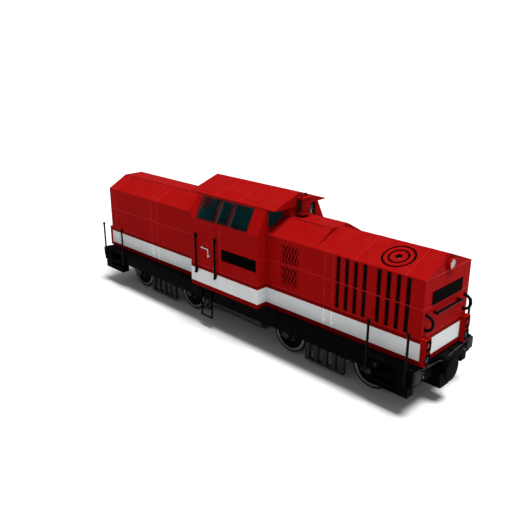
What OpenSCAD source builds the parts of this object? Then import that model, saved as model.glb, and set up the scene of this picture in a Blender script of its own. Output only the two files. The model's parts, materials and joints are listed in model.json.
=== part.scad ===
// Diesel locomotive, centre cab between two hoods, on two four-wheel bogies.
// Frame: +X towards the fan end, +Y to the left side, +Z up, z = 0 under the wheel flanges.

/* [Overall] */
// half length over the hood end faces
hood_end_x = 6590; // [6200:10:7000]
// height of the deck above the rail
deck_z = 1340; // [1320:5:1400]
// half width of the frame and of the cab below its waist
frame_hw = 1450; // [1400:5:1500]
// depth of the side sill below the deck top
sill_depth = 350; // [280:10:380]
// thickness of the side sills
sill_t = 60; // [40:5:80]
// thickness of the deck plate
deck_t = 50; // [30:5:55]

/* [Hoods] */
// half width of both hoods
hood_hw = 1080; // [1040:10:1120]
// height of the hood shoulder fold, which is also the cab waist
shoulder_z = 3545; // [3450:5:3600]
// height of the flat hood top
flat_z = 3945; // [3850:5:4000]
// half width of the flat hood top
flat_hw = 355; // [300:5:420]
// height of the ridge over the fan section
gable_z = 3960; // [3850:5:4000]
// thickness of the hood sheets
hood_t = 40; // [25:5:50]
// where the flat-topped section meets the fan section
step_x = 3265; // [3100:5:3400]

/* [Radiator slots and fans] */
// first slot centre of the first group, back from the hood end
slot_back_1 = 2523; // [2480:1:2560]
// first slot centre of the second group, back from the hood end
slot_back_2 = 1268; // [1240:1:1300]
// slots in a group
slot_n = 4; // [2:1:4]
// distance between slots
slot_pitch = 278; // [240:2:290]
// width of a slot
slot_w = 122; // [80:2:140]
// bottom of the slots
slot_z0 = 2090; // [1900:10:2300]
// distance of the slot top below the shoulder fold
slot_top_gap = 30; // [30:5:80]
// fan centre, back from the hood end
fan_back = 1100; // [1000:10:1290]
// radius of the fan grille
fan_r = 460; // [420:1:465]
// number of fan blades
blade_n = 6; // [4:1:8]

/* [Cab] */
// half length of the cab between its end faces
cab_hx = 1485; // [1450:5:1520]
// half width of the cab at the eaves
cab_top_hw = 1088; // [1060:2:1110]
// height of the eaves
eave_z = 4250; // [4200:5:4280]
// height of the roof ridge
ridge_z = 4644; // [4550:2:4645]
// half length of the roof with its overhang
roof_hx = 1795; // [1700:5:1850]
// thickness of the cab walls and doors
wall_t = 60; // [50:2:70]
// height of the cab floor
floor_z = 2060; // [1980:5:2080]
// door opening edge nearest the cab middle
door_x0 = -357; // [-400:1:-330]
// width of the door opening
door_w = 768; // [700:2:780]
// gap between door and frame
door_gap = 8; // [7:0.5:12]
// side window lower edge, measured up the sloping wall
win_s0 = 50; // [40:5:80]
// side window upper edge, measured up the sloping wall
win_s1 = 735; // [650:5:740]
// width of the window pillars
pillar_w = 80; // [50:5:100]
// glass thickness
glass_t = 8; // [6:1:12]
// how far a pane laps behind the edge of its opening
glass_lap = 20; // [10:2:22]

/* [Running gear] */
// distance of each bogie pivot from the middle
pivot_x = 3657; // [3600:1:3700]
// half the wheelbase of a bogie
half_base = 1444; // [1400:2:1460]
// wheel radius on the tread
wheel_r = 600; // [560:1:610]
// distance from the middle to the back of a wheel
wheel_back = 680; // [679:0.5:681.5]
// width of a wheel from back to front face
wheel_w = 135; // [127:1:140]
// width of the flange
flange_w = 32; // [28:1:33]
// height of the flange
flange_h = 26; // [24:1:28]
// axle radius
axle_r = 85; // [75:1:95]
// outer face of the bogie side frames
side_y = 965; // [950:1:980]
// thickness of the bogie side frames
side_t = 100; // [80:2:110]
// radius of the pivot pin
pin_r = 90; // [70:1:100]
// clearance round pins and journals
run_gap = 5; // [5:0.5:8]

/* [Buffers and ends] */
// how far the centre buffer stands out from the hood end
buffer_reach = 350; // [300:1:380]
// height of the centre buffer
buffer_z = 985; // [960:1:1060]
// radius of the buffer disc
buffer_r = 338; // [300:1:345]
// radius of the side handrails and posts
rail_r = 32; // [16:1:36]
// radius of the end handrails
grab_r = 38; // [18:1:42]
// length of the corner steps, back from the hood end
step_len = 1090; // [1000:10:1150]
// underside of the corner steps
step_z0 = 598; // [560:2:700]
// clearance between the fuel tank and the nearest wheels
tank_gap = 460; // [400:10:600]
// underside of the fuel tank
tank_z0 = 340; // [300:5:420]

/* [Part] */
// which piece to draw

/* [Hidden] */

$fn = 64;
mid_z = shoulder_z - 735;         // crease half way up the hood sides
red = [0.62, 0.06, 0.06];
black = [0.05, 0.05, 0.05];
dark = [0.16, 0.16, 0.17];
slot_x1 = hood_end_x - slot_back_1;
slot_x2 = hood_end_x - slot_back_2;
fan_x = hood_end_x - fan_back;
fan_y = hood_hw / 2 + 5;
buffer_x = hood_end_x + buffer_reach;
step_out = hood_end_x - step_len;
over = 20;                       // how far a cutter runs past a face
seat = 0.3;                      // gap of a seated piece
sill_z = deck_z - sill_depth;
deck_under = deck_z - deck_t;
beam_t = 60;                     // thickness of the buffer beam
beam_x = hood_end_x + beam_t;
slope_a = atan2(flat_z - shoulder_z, hood_hw - flat_hw);
gable_a = atan2(gable_z - shoulder_z, hood_hw);
tumble_a = atan2(frame_hw - cab_top_hw, eave_z - shoulder_z);
cab_a = 90 - tumble_a;
cab_len = sqrt(pow(frame_hw - cab_top_hw, 2) + pow(eave_z - shoulder_z, 2));
in_hw = frame_hw - wall_t;
in_waist = shoulder_z - wall_t * (1 / cos(cab_a) - tan(cab_a));
in_top = in_hw - (eave_z - in_waist) / tan(cab_a);
wheel_z = wheel_r + flange_h;      // the flange is the lowest part of the vehicle
wheel_front = wheel_back + wheel_w;
bolster_top = deck_z - 390;
beam_lo = bolster_top - 160;
beam_hi = bolster_top - 50;
box_top = beam_lo - 40;
box_lo = wheel_z - 146;
longs_y = 300;                   // middle of the longitudinal sills
longs_w = 80;
longs_z = deck_z - 250;

// prism along X between two stations, from a profile in (y, z)
module along(x0, x1) {
  translate([x0, 0, 0])
    rotate([90, 0, 90])
      linear_extrude(x1 - x0) children();
}

// copy to both ends
module ends() {
  for (s = [0, 1]) rotate([0, 0, 180 * s]) children();
}

// copy to both sides
module sides() {
  for (s = [0, 1]) mirror([0, s, 0]) children();
}

// box from corner to corner
module block(a, b) {
  translate(a) cube([b[0] - a[0], b[1] - a[1], b[2] - a[2]]);
}

// rod between two heights
module rod_z(x, y, z0, z1, r) {
  translate([x, y, z0]) cylinder(h = z1 - z0, r = r);
}

// section of the flat-topped hood, t inside its outer face and open at the deck
module trapezoid(t) {
  hw = hood_hw - t;
  zs = shoulder_z - t * (1 / cos(slope_a) - tan(slope_a));
  fy = flat_hw - t * tan(slope_a / 2);
  fz = flat_z - t;
  polygon([[-hw, deck_z - t], [hw, deck_z - t], [hw, zs], [fy, fz], [-fy, fz], [-hw, zs]]);
}

// section of the ridged hood, t inside its outer face and open at the deck
module gable(t) {
  hw = hood_hw - t;
  zs = shoulder_z - t * (1 / cos(gable_a) - tan(gable_a));
  polygon([[-hw, deck_z - t], [hw, deck_z - t], [hw, zs], [0, gable_z - t / cos(gable_a)],
    [-hw, zs]]);
}

// stand a tool on the left slope of the fan section, z = 0 on the outer sheet face
module on_gable() {
  translate([fan_x, fan_y, gable_z - fan_y * tan(gable_a)])
    rotate([-gable_a, 0, 0]) children();
}

module underframe() {
  color(black) {
    difference() {
      union() {
        block([-hood_end_x, -frame_hw, deck_under], [hood_end_x, frame_hw, deck_z]);
        sides() block([-step_out, frame_hw - sill_t, sill_z], [step_out, frame_hw, deck_z]);
        sides() block([-hood_end_x, longs_y - longs_w / 2, longs_z],
          [hood_end_x, longs_y + longs_w / 2, deck_z]);
        ends() block([hood_end_x - over, -frame_hw, beam_lo_z], [beam_x, frame_hw, deck_z]);
        ends() rod_z(pivot_x, 0, bolster_top + 2 * run_gap, deck_z, pivot_cast_r);
        for (x = [-pivot_x, pivot_x])
          block([x - cross_w / 2, -frame_hw, cross_z], [x + cross_w / 2, frame_hw, deck_z]);
      }
      ends() rod_z(pivot_x, 0, 0, pin_top + 2 * run_gap, pin_r + run_gap);
    }
  }
}
beam_lo_z = deck_z - 460;
pivot_cast_r = 220;
pin_top = bolster_top + 200;
cross_w = 360;
cross_z = deck_z - 200;

module corner_steps() {
  bar = 40;
  x1 = hood_end_x - over;
  y0 = frame_hw - 270;
  z0 = step_z0;
  tread_z = sill_z - 90;
  color(black) ends() sides() {
    block([step_out, frame_hw - bar, z0], [step_out + bar, frame_hw, deck_under]);
    block([step_out, y0, z0], [x1, frame_hw, z0 + bar]);
    block([step_out, y0, tread_z], [x1, frame_hw, tread_z + bar]);
    block([step_out, y0, z0], [x1, y0 + bar / 2, deck_under]);
    block([x1 - 350, frame_hw - bar, z0], [x1, frame_hw, deck_under]);
    block([step_out, y0, z0], [step_out + bar, frame_hw, tread_z + bar]);
    block([x1 - bar, y0, z0], [x1, frame_hw, tread_z + bar]);
    block([step_out, frame_hw - bar, z0 + 100], [x1, frame_hw, z0 + 160]);
    brace(step_out + bar / 2, tread_z + bar / 2, x1 - bar / 2, deck_under - bar, bar);
  }
}

// slanting bar between two points, set in from the outer face
module brace(xa, za, xb, zb, w) {
  inset = 8;
  translate([0, frame_hw - inset, 0]) rotate([90, 0, 0]) linear_extrude(w - 2 * inset)
    polygon([[xa, za], [xb, zb], [xb, zb + w / 2], [xa, za + w / 2]]);
}

module short_hood() {
  color(red) difference() {
    along(-hood_end_x, -cab_hx) trapezoid(0);
    along(-hood_end_x + hood_t, -cab_hx + over) trapezoid(hood_t);
  }
}

module long_hood_rear() {
  color(red) difference() {
    along(cab_hx, step_x) trapezoid(0);
    along(cab_hx - over, step_x - hood_t) trapezoid(hood_t);
  }
}

module long_hood_front() {
  slot_top = shoulder_z - slot_top_gap;
  color(red) difference() {
    along(step_x, hood_end_x) gable(0);
    along(step_x - over, hood_end_x - hood_t) gable(hood_t);
    for (x0 = [slot_x1, slot_x2], i = [0 : slot_n - 1])
      block([x0 + i * slot_pitch - slot_w / 2, -hood_hw - over, slot_z0],
        [x0 + i * slot_pitch + slot_w / 2, hood_hw + over, slot_top]);
    sides() on_gable() translate([0, 0, -3 * hood_t]) cylinder(h = 6 * hood_t, r = fan_r + seat);
  }
}

module side_louvres() {
  lx0 = cab_hx + 580;
  lx1 = lx0 + 637;
  lt = 12;
  slat = 34;
  z0 = floor_z + 170;
  zh = (shoulder_z - z0 - 260) / 2;
  color(red) sides() for (z = [[z0, z0 + zh], [z0 + zh + 105, z0 + 2 * zh + 105]]) difference() {
    block([lx0, hood_hw, z[0]], [lx1, hood_hw + lt, z[1]]);
    for (zz = [z[0] + slat : 2 * slat : z[1] - slat])
      block([lx0 + slat, hood_hw + lt / 2, zz], [lx1 - slat, hood_hw + lt + over, zz + slat]);
  }
}

module radiators() {
  rx0 = slot_x1 - slot_pitch / 3;
  rx1 = slot_x2 + (slot_n - 1) * slot_pitch + slot_pitch / 3;
  ry = hood_hw - hood_t - 10;
  color(dark) sides() block([rx0, ry - 100, deck_z], [rx1, ry, slot_z_hi]);
}
slot_z_hi = shoulder_z - 55;

module engine_block() {
  ex = cab_hx + 265;
  color(dark) block([ex, -560, deck_z], [ex + 1400, 560, deck_z + 1610]);
}

module transmission_block() {
  color(dark) block([-900, -500, deck_z], [900, 500, floor_z - wall_t]);
}

module fan_grilles() {
  ring_w = 60;
  spoke = 36;
  color(red) sides() on_gable() translate([0, 0, -hood_t]) difference() {
    cylinder(h = hood_t, r = fan_r);
    for (r = [fan_r - ring_w / 3, fan_r * 0.61]) difference() {
      translate([0, 0, -over]) cylinder(h = hood_t + 2 * over, r = r);
      translate([0, 0, -2 * over]) cylinder(h = hood_t + 4 * over, r = r - ring_w);
      for (a = [45, 135]) rotate([0, 0, a])
        translate([-fan_r, -spoke / 2, -2 * over]) cube([2 * fan_r, spoke, hood_t + 4 * over]);
    }
    translate([0, 0, -over]) cylinder(h = hood_t + 2 * over, r = fan_r / 5);
  }
}

module fan_carriers() {
  bar = 50;
  reach = fan_r + bar;
  depth = 230;
  color(dark) sides() on_gable() {
    block([-reach - bar, -bar / 2, -depth - bar], [reach + bar, bar / 2, -depth]);
    for (s = [-1, 1])
      block([s * reach - bar / 2, -bar / 2, -depth - bar], [s * reach + bar / 2, bar / 2, -hood_t]);
    translate([0, 0, -depth]) cylinder(h = 60, r = 100);
    translate([0, 0, -depth]) cylinder(h = 130, r = shaft_r);
  }
}
shaft_r = 25;

module fan_rotor() {
  hub_r = 90;
  tip_r = fan_r - 20;
  on_gable() translate([0, 0, -150]) difference() {
    union() {
      cylinder(h = 70, r = hub_r);
      for (i = [0 : blade_n - 1]) rotate([0, 0, i * 360 / blade_n])
        translate([0, 0, 35]) rotate([30, 0, 0])
          translate([hub_r / 2, -60, -5]) cube([tip_r - hub_r / 2, 120, 10]);
    }
    translate([0, 0, -over]) cylinder(h = over + 55, r = shaft_r + 1);
  }
}

module fan_rotor_left() {
  color(dark) fan_rotor();
}

module fan_rotor_right() {
  color(dark) mirror([0, 1, 0]) fan_rotor();
}

// stand a tool on the left sloping cab wall, y = 0 on the outer face, z up the slope
module on_tumble() {
  translate([0, frame_hw, shoulder_z]) rotate([tumble_a, 0, 0]) children();
}

pillar_1 = door_x0 + 5;
pillar_2 = pillar_1 + 579;
win_x0 = pillar_1 - 828;
win_x1 = pillar_2 + 783;
door_z1 = shoulder_z - 25;

hinge_zs = [2250, 3250];
hinge_y = frame_hw + 18;
hinge_h = 70;
knuckle_r = 14;
hinge_pin_r = 7;

// one barrel on the door's hinge line, with its strap to one side
module knuckle(z, dir) {
  hx = door_x0 - door_gap / 2;
  rod_z(hx, hinge_y, z, z + hinge_h, knuckle_r);
  block([min(hx, hx + dir * 60), frame_hw - 1, z], [max(hx, hx + dir * 60), hinge_y, z + hinge_h]);
}

module cab_side() {
  for (z = hinge_zs) {
    difference() {
      knuckle(z, 1);
      block([door_x0 - door_w, in_hw, z - over], [door_x0, frame_hw + seat, z + hinge_h + over]);
    }
    rod_z(door_x0 - door_gap / 2, hinge_y, z + hinge_h - 1, z + 2 * hinge_h - 10, hinge_pin_r);
  }
  difference() {
    along(-cab_hx, cab_hx) polygon([[frame_hw, deck_z], [frame_hw, shoulder_z],
      [cab_top_hw, eave_z], [in_top, eave_z], [in_hw, in_waist], [in_hw, deck_z]]);
    block([door_x0 - door_w, in_hw - over, floor_z], [door_x0, frame_hw + over, door_z1]);
    for (p = [[win_x0, pillar_1 - pillar_w / 2], [pillar_1 + pillar_w / 2, pillar_2 - pillar_w / 2],
        [pillar_2 + pillar_w / 2, win_x1]])
      on_tumble() block([p[0], -2 * wall_t, win_s0], [p[1], wall_t, win_s1]);
  }
}

module cab_side_left() {
  color(red) cab_side();
}

module cab_side_right() {
  color(red) mirror([0, 1, 0]) cab_side();
}

// outline of an end window, grown by g
module end_window(g) {
  yo = in_top - 10;
  yi = flat_hw + 45;
  z0 = shoulder_z + 200;
  z1 = flat_z + 10;
  z2 = eave_z - 70;
  polygon([[yo + g, z0 - g], [yi + 370 - g / 2, z0 - g], [yi - g, z1 - g], [yi - g, z2 + g],
    [yo + g, z2 + g]]);
}

module cab_end_walls() {
  color(red) for (s = [-1, 1]) difference() {
    along(s * (cab_hx - wall_t / 2) - wall_t / 2, s * (cab_hx - wall_t / 2) + wall_t / 2)
      polygon([[in_hw, deck_z], [in_hw, in_waist], [in_top, eave_z], [-in_top, eave_z],
        [-in_hw, in_waist], [-in_hw, deck_z]]);
    sides() along(s * (cab_hx - wall_t / 2) - wall_t, s * (cab_hx - wall_t / 2) + wall_t)
      end_window(0);
  }
}

module cab_roof() {
  lip = 30;
  color(red) difference() {
    along(-roof_hx, roof_hx) polygon([[-cab_top_hw, eave_z], [cab_top_hw, eave_z],
      [cab_top_hw, eave_z + lip], [0, ridge_z], [-cab_top_hw, eave_z + lip]]);
    along(-cab_hx + wall_t, cab_hx - wall_t) polygon([[-in_top + lip, eave_z - over],
      [in_top - lip, eave_z - over], [in_top - lip, eave_z + lip / 3],
      [0, ridge_z - 2 * lip - lip / 3], [-in_top + lip, eave_z + lip / 3]]);
  }
}

module cab_floor() {
  color(dark) block([-cab_hx + wall_t, -in_hw, floor_z - wall_t], [cab_hx - wall_t, in_hw, floor_z]);
}

desk_h = 1020;

module control_desk() {
  color(dark) ends() {
    difference() {
      along(cab_hx - wall_t - 500, cab_hx - wall_t - 40) polygon([[200, floor_z], [1100, floor_z],
        [1100, floor_z + desk_h], [200, floor_z + desk_h]]);
      translate([cab_hx - wall_t - 500, 0, floor_z + desk_h - 150]) rotate([0, -20, 0])
        translate([-200, 0, 0]) cube([400, 2000, 400]);
    }
    block([cab_hx - wall_t - 240, 300, floor_z + desk_h],
      [cab_hx - wall_t - 80, 1000, floor_z + desk_h + 180]);
  }
}

module driver_seats() {
  sx = 560;
  sy = 650;
  color(dark) ends() {
    rod_z(sx, sy, floor_z, floor_z + 440, 60);
    block([sx - 230, sy - 240, floor_z + 440], [sx + 230, sy + 240, floor_z + 540]);
    block([sx - 230, sy - 220, floor_z + 540], [sx - 140, sy + 220, floor_z + 1240]);
    rod_z(sx, sy, floor_z, floor_z + 30, 220);
  }
}

module cab_glass() {
  color([0.1, 0.3, 0.32, 0.4]) {
    sides() on_tumble() block([win_x0 - glass_lap, -wall_t - seat - glass_t, win_s0 - glass_lap],
      [win_x1 + glass_lap, -wall_t - seat, win_s1 + glass_lap]);
    for (s = [-1, 1]) sides() along(s * (cab_hx - wall_t - seat - glass_t / 2) - glass_t / 2,
        s * (cab_hx - wall_t - seat - glass_t / 2) + glass_t / 2)
      end_window(glass_lap);
  }
}

module cab_door() {
  block([door_x0 - door_w + door_gap, in_hw, floor_z + door_gap],
    [door_x0 - door_gap, frame_hw, door_z1 - door_gap]);
  for (z = hinge_zs) difference() {
    knuckle(z + hinge_h + 1, -1);
    block([door_x0 - door_gap, in_hw, z], [door_x0 + door_gap, frame_hw, z + 3 * hinge_h]);
    rod_z(door_x0 - door_gap / 2, hinge_y, z, z + 3 * hinge_h, hinge_pin_r + 0.8);
  }
}

module cab_door_left() {
  color(red) cab_door();
}

module cab_door_right() {
  color(red) mirror([0, 1, 0]) cab_door();
}

module roof_box() {
  bw = 170;
  bx = roof_hx + 35;
  bz = flat_z + 85;
  color(red) {
    block([cab_hx, -flat_hw + 5, flat_z], [roof_hx - 40, flat_hw - 5, eave_z]);
    block([bx, -bw, bz + 30], [bx + 190, bw, bz + 470]);
    block([bx - 20, -bw - 20, bz + 470], [bx + 230, bw + 20, bz + 500]);
    block([bx - 20, -bw - 20, bz], [bx + 230, bw + 20, bz + 30]);
    for (y = [-100, 100]) rod_z(bx + 100, y, flat_z, bz + 10, 25);
    for (y = [-100, 60]) rod_z(bx + 120, y, bz + 490, bz + 600, 25);
  }
}

lamp_hw = 125;
lamp_y = hood_hw - lamp_hw;
lamp_hh = 172;
lamp_zs = [deck_z + 20 + lamp_hh, deck_z + 40 + 3 * lamp_hh];
lamp_out = 150;
lens_r = 105;
head_r = 122;
head_z = shoulder_z + 161;

module lamp_housings() {
  color(red) ends() {
    for (z = lamp_zs) sides() difference() {
      block([hood_end_x, lamp_y - lamp_hw, z - lamp_hh],
        [hood_end_x + lamp_out, lamp_y + lamp_hw, z + lamp_hh]);
      translate([hood_end_x + lamp_out - 30, lamp_y, z]) rotate([0, 90, 0])
        cylinder(h = 60, r = lens_r);
    }
    translate([hood_end_x, 0, head_z]) rotate([0, 90, 0]) difference() {
      cylinder(h = 60, r = head_r + 28);
      translate([0, 0, 30]) cylinder(h = 60, r = head_r);
    }
  }
}

module lens(x, y, z, r) {
  translate([x, y, z]) rotate([0, 90, 0]) cylinder(h = 26, r = r - seat);
}

module lamp_lenses_clear() {
  color([0.8, 0.85, 0.85]) ends() {
    sides() lens(hood_end_x + lamp_out - 30, lamp_y, lamp_zs[0], lens_r);
    lens(hood_end_x + 30, 0, head_z, head_r);
  }
}

module lamp_lenses_red() {
  color([0.7, 0.02, 0.02]) ends() sides() lens(hood_end_x + lamp_out - 30, lamp_y, lamp_zs[1], lens_r);
}

module number_plates() {
  pt = 8;
  color(black) {
    sides() block([-40, frame_hw, mid_z - 345], [cab_hx - 60, frame_hw + pt, mid_z + 5]);
    ends() block([hood_end_x, -720, mid_z + 10], [hood_end_x + pt, 720, mid_z + 360]);
  }
}

knob = 50;                       // radius of the round rail ends

module corner_posts() {
  post_y = frame_hw + rail_r + seat;
  top_z = deck_z + 950;
  color(black) sides() for (x = [95 - hood_end_x, 135 - step_out, step_out - 135, hood_end_x - 95]) {
    rod_z(x, post_y, sill_z - 60, top_z, rail_r);
    translate([x, post_y, top_z]) sphere(r = knob);
  }
}

module door_handrails() {
  off_y = frame_hw + 28 + rail_r;
  z0 = floor_z - 230;
  z1 = floor_z + 990;
  color(black) sides() for (x = [door_x0 - door_w - 60, door_x0 + 60]) {
    rod_z(x, off_y, z0, z1, rail_r);
    for (z = [z0 + 70, z1 - 70]) translate([x, frame_hw, z]) rotate([-90, 0, 0])
      cylinder(h = off_y - frame_hw, r = rail_r * 0.8);
    for (z = [z0, z1]) translate([x, off_y, z]) sphere(r = knob);
  }
}

module end_handrails() {
  out = 90;
  half = 600;
  bar_z = mid_z - 195;
  bow_r = 193;
  bow_y = hood_hw - 165;
  bow_z = mid_z - 369;
  color(black) ends() {
    translate([hood_end_x + out, -half, bar_z]) rotate([-90, 0, 0]) cylinder(h = 2 * half, r = grab_r);
    for (y = [40 - half, half - 40]) translate([hood_end_x, y, bar_z]) rotate([0, 90, 0])
      cylinder(h = out, r = grab_r * 0.8);
    sides() translate([hood_end_x, bow_y, bow_z]) rotate([90, 0, 0])
      rotate([0, 0, -90]) rotate_extrude(angle = 180) translate([bow_r, 0]) circle(r = grab_r);
  }
}

module cab_steps() {
  sx0 = door_x0 - door_w + 112;
  sx1 = door_x0 - 135;
  bar = 40;
  z0 = sill_z - 600;
  y0 = frame_hw;
  color(black) sides() {
    for (x = [sx0, sx1 - bar]) block([x, y0, z0], [x + bar, y0 + bar, deck_z - 60]);
    for (z = [z0, z0 + 300, z0 + 600]) block([sx0, y0, z], [sx1, y0 + bar, z + bar]);
  }
}

module fuel_tank() {
  tx = pivot_x - half_base - wheel_r - flange_h - tank_gap;
  ty = side_y - 5;
  tz = tank_z0;
  ch = 200;
  color(dark) along(-tx, tx) polygon([[-ty + ch, tz], [ty - ch, tz], [ty, tz + ch], [ty, longs_z],
    [-ty, longs_z], [-ty, tz + ch]]);
}

module centre_buffers() {
  color(black) ends() {
    translate([beam_x, 0, buffer_z]) rotate([0, 90, 0]) {
      cylinder(h = 60, r = 190);
      cylinder(h = buffer_x - beam_x - 30, r = 120);
      translate([0, 0, buffer_x - beam_x - 60]) cylinder(h = 60, r = buffer_r);
    }
    block([beam_x - 440, -260, buffer_z - 555], [beam_x + 120, 260, beam_lo_z]);
  }
}

module side_pads() {
  color(dark) ends() sides()
    block([beam_x, frame_hw - 311, deck_z - 350], [beam_x + 85, frame_hw - 11, deck_z - 10]);
}

module bogie_frame() {
  reach = half_base + 316;
  span = half_base - wheel_r - flange_h;
  pitch = (2 * span - 396) / 4;
  first = -span + 178;
  ribs = [first, first + pitch, first + 2 * pitch, first + 3 * pitch];
  foot = 120;
  sides() {
    block([-reach, side_y - side_t, beam_lo], [reach, side_y, beam_hi]);
    for (x = ribs) block([x - 65, side_y - side_t, foot + 70], [x + 65, side_y, beam_lo + 1]);
    block([span - 378, side_y - side_t, foot + 70], [span - 168, side_y, beam_lo - 150]);
    block([first - 80, side_y - side_t, foot], [span - 168, side_y, foot + 71]);
    block([span - 378, side_y - side_t, beam_lo - 151], [span - 338, side_y, beam_lo + 1]);
  }
  block([-300, -side_y, beam_lo], [300, side_y, bolster_top]);
  rod_z(0, 0, beam_hi, pin_top, pin_r);
}

module bogie_frame_front() {
  color(dark) translate([pivot_x, 0, 0]) bogie_frame();
}

module bogie_frame_rear() {
  color(dark) translate([-pivot_x, 0, 0]) bogie_frame();
}

module axle_boxes() {
  for (x = [-half_base, half_base]) sides() difference() {
    union() {
      block([x - 140, wheel_front + 20, box_lo], [x + 140, side_y, box_top]);
      for (s = [-90, 90]) rod_z(x + s, side_y - side_t / 2, box_top - 1, beam_lo, 40);
      translate([x, side_y - 1, wheel_z]) rotate([-90, 0, 0]) cylinder(h = 26, r = 110);
    }
    translate([x, 0, wheel_z]) rotate([-90, 0, 0])
      cylinder(h = side_y - 20 + run_gap, r = axle_r * 0.8 + run_gap);
  }
}

module axle_boxes_front() {
  color(black) translate([pivot_x, 0, 0]) axle_boxes();
}

module axle_boxes_rear() {
  color(black) translate([-pivot_x, 0, 0]) axle_boxes();
}

module brake_shoes() {
  hang_z = beam_lo + 40;
  y0 = wheel_back + flange_w + 10;
  y1 = wheel_front - 10;
  for (s = [-1, 1]) {
    sides() difference() {
      block([s * (half_base - wheel_r - 60) - 60, y0, wheel_z - 150],
        [s * (half_base - wheel_r - 60) + 60, y1, hang_z + 30]);
      translate([s * half_base, 0, wheel_z]) rotate([-90, 0, 0]) cylinder(h = 2 * y1, r = wheel_r + 15);
    }
    translate([s * (half_base - wheel_r - 85), -side_y + side_t, hang_z]) rotate([-90, 0, 0])
      cylinder(h = 2 * (side_y - side_t), r = 20);
    translate([s * (half_base - wheel_r - 100), -y1, wheel_z - 60]) rotate([-90, 0, 0])
      cylinder(h = 2 * y1, r = 20);
  }
}

module brake_shoes_front() {
  color(dark) translate([pivot_x, 0, 0]) brake_shoes();
}

module brake_shoes_rear() {
  color(dark) translate([-pivot_x, 0, 0]) brake_shoes();
}

module wheelset(x) {
  rim = 70;
  dish = 45;
  hub_r = 150;
  half = side_y - 20;
  translate([x, 0, wheel_z]) rotate([-90, 0, 0]) {
    translate([0, 0, -half]) cylinder(h = 2 * half, r = axle_r * 0.8);
    translate([0, 0, -wheel_back]) cylinder(h = 2 * wheel_back, r = axle_r);
    for (s = [0, 1]) mirror([0, 0, s]) translate([0, 0, wheel_back]) rotate_extrude($fn = 96)
      polygon([[0, 0], [hub_r, 0], [hub_r, dish], [wheel_r - rim, dish], [wheel_r - rim, 0],
        [wheel_r + flange_h, 0], [wheel_r + flange_h, flange_w * 0.6], [wheel_r + 4, flange_w],
        [wheel_r, flange_w + 8], [wheel_r, wheel_w], [wheel_r - rim, wheel_w],
        [wheel_r - rim - 10, wheel_w - dish], [hub_r + 10, wheel_w - dish], [hub_r, wheel_w],
        [0, wheel_w]]);
  }
}

module wheelset_1() {
  color(black) wheelset(-pivot_x - half_base);
}

module wheelset_2() {
  color(black) wheelset(-pivot_x + half_base);
}

module wheelset_3() {
  color(black) wheelset(pivot_x - half_base);
}

module wheelset_4() {
  color(black) wheelset(pivot_x + half_base);
}

underframe();
corner_steps();
short_hood();
long_hood_rear();
long_hood_front();
side_louvres();
radiators();
engine_block();
transmission_block();
fan_grilles();
fan_carriers();
fan_rotor_left();
fan_rotor_right();
cab_side_left();
cab_side_right();
cab_end_walls();
cab_roof();
cab_floor();
control_desk();
driver_seats();
cab_glass();
cab_door_left();
cab_door_right();
roof_box();
lamp_housings();
lamp_lenses_clear();
lamp_lenses_red();
number_plates();
corner_posts();
door_handrails();
end_handrails();
cab_steps();
fuel_tank();
centre_buffers();
side_pads();
bogie_frame_front();
bogie_frame_rear();
axle_boxes_front();
axle_boxes_rear();
brake_shoes_front();
brake_shoes_rear();
wheelset_1();
wheelset_2();
wheelset_3();
wheelset_4();
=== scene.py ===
"""Diesel locomotive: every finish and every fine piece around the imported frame.

Metres, in the model's own frame: +X towards the fan end, +Y to the left side, +Z up, z = 0 under the flanges.
"""

import json
import logging
import math
from dataclasses import dataclass
from enum import Enum
from typing import Sequence

import bmesh
import bpy
import numpy as np
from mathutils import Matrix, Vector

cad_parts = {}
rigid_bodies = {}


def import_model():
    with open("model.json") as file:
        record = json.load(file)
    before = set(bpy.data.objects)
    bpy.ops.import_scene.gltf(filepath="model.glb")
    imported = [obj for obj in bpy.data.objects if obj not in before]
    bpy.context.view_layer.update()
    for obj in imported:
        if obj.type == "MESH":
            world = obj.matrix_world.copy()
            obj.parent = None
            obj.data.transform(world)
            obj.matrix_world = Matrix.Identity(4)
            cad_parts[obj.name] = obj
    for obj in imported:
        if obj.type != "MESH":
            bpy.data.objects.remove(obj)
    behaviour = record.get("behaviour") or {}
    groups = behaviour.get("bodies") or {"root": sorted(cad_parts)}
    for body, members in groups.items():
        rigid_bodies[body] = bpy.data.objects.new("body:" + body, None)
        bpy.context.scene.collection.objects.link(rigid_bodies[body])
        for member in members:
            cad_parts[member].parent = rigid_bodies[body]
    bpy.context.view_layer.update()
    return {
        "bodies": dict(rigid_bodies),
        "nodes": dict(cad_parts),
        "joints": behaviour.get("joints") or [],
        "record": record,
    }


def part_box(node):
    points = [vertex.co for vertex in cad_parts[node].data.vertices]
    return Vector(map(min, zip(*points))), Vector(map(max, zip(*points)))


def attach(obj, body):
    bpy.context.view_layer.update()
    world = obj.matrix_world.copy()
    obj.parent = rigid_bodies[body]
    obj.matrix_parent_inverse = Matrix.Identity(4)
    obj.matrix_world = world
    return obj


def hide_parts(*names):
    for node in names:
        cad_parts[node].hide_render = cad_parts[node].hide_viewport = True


LOG = logging.getLogger("locomotive")
SIDES = (-1.0, 1.0)
ENDS = (1.0, -1.0)
Array = np.ndarray


# ------------------------------------------------------------------ shapes


def unit(vectors: Array) -> Array:
    """Scales vectors to length one."""
    vectors = np.asarray(vectors, float)
    return vectors / np.maximum(np.linalg.norm(vectors, axis=-1, keepdims=True), 1e-12)


def circle(radius: float, sides: int = 10) -> Array:
    """Points of a circle as a profile: radius times the cosine and sine of evenly spaced angles."""
    angle = np.linspace(0, 2 * np.pi, sides, endpoint=False)
    return radius * np.stack([np.cos(angle), np.sin(angle)], -1)


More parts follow.
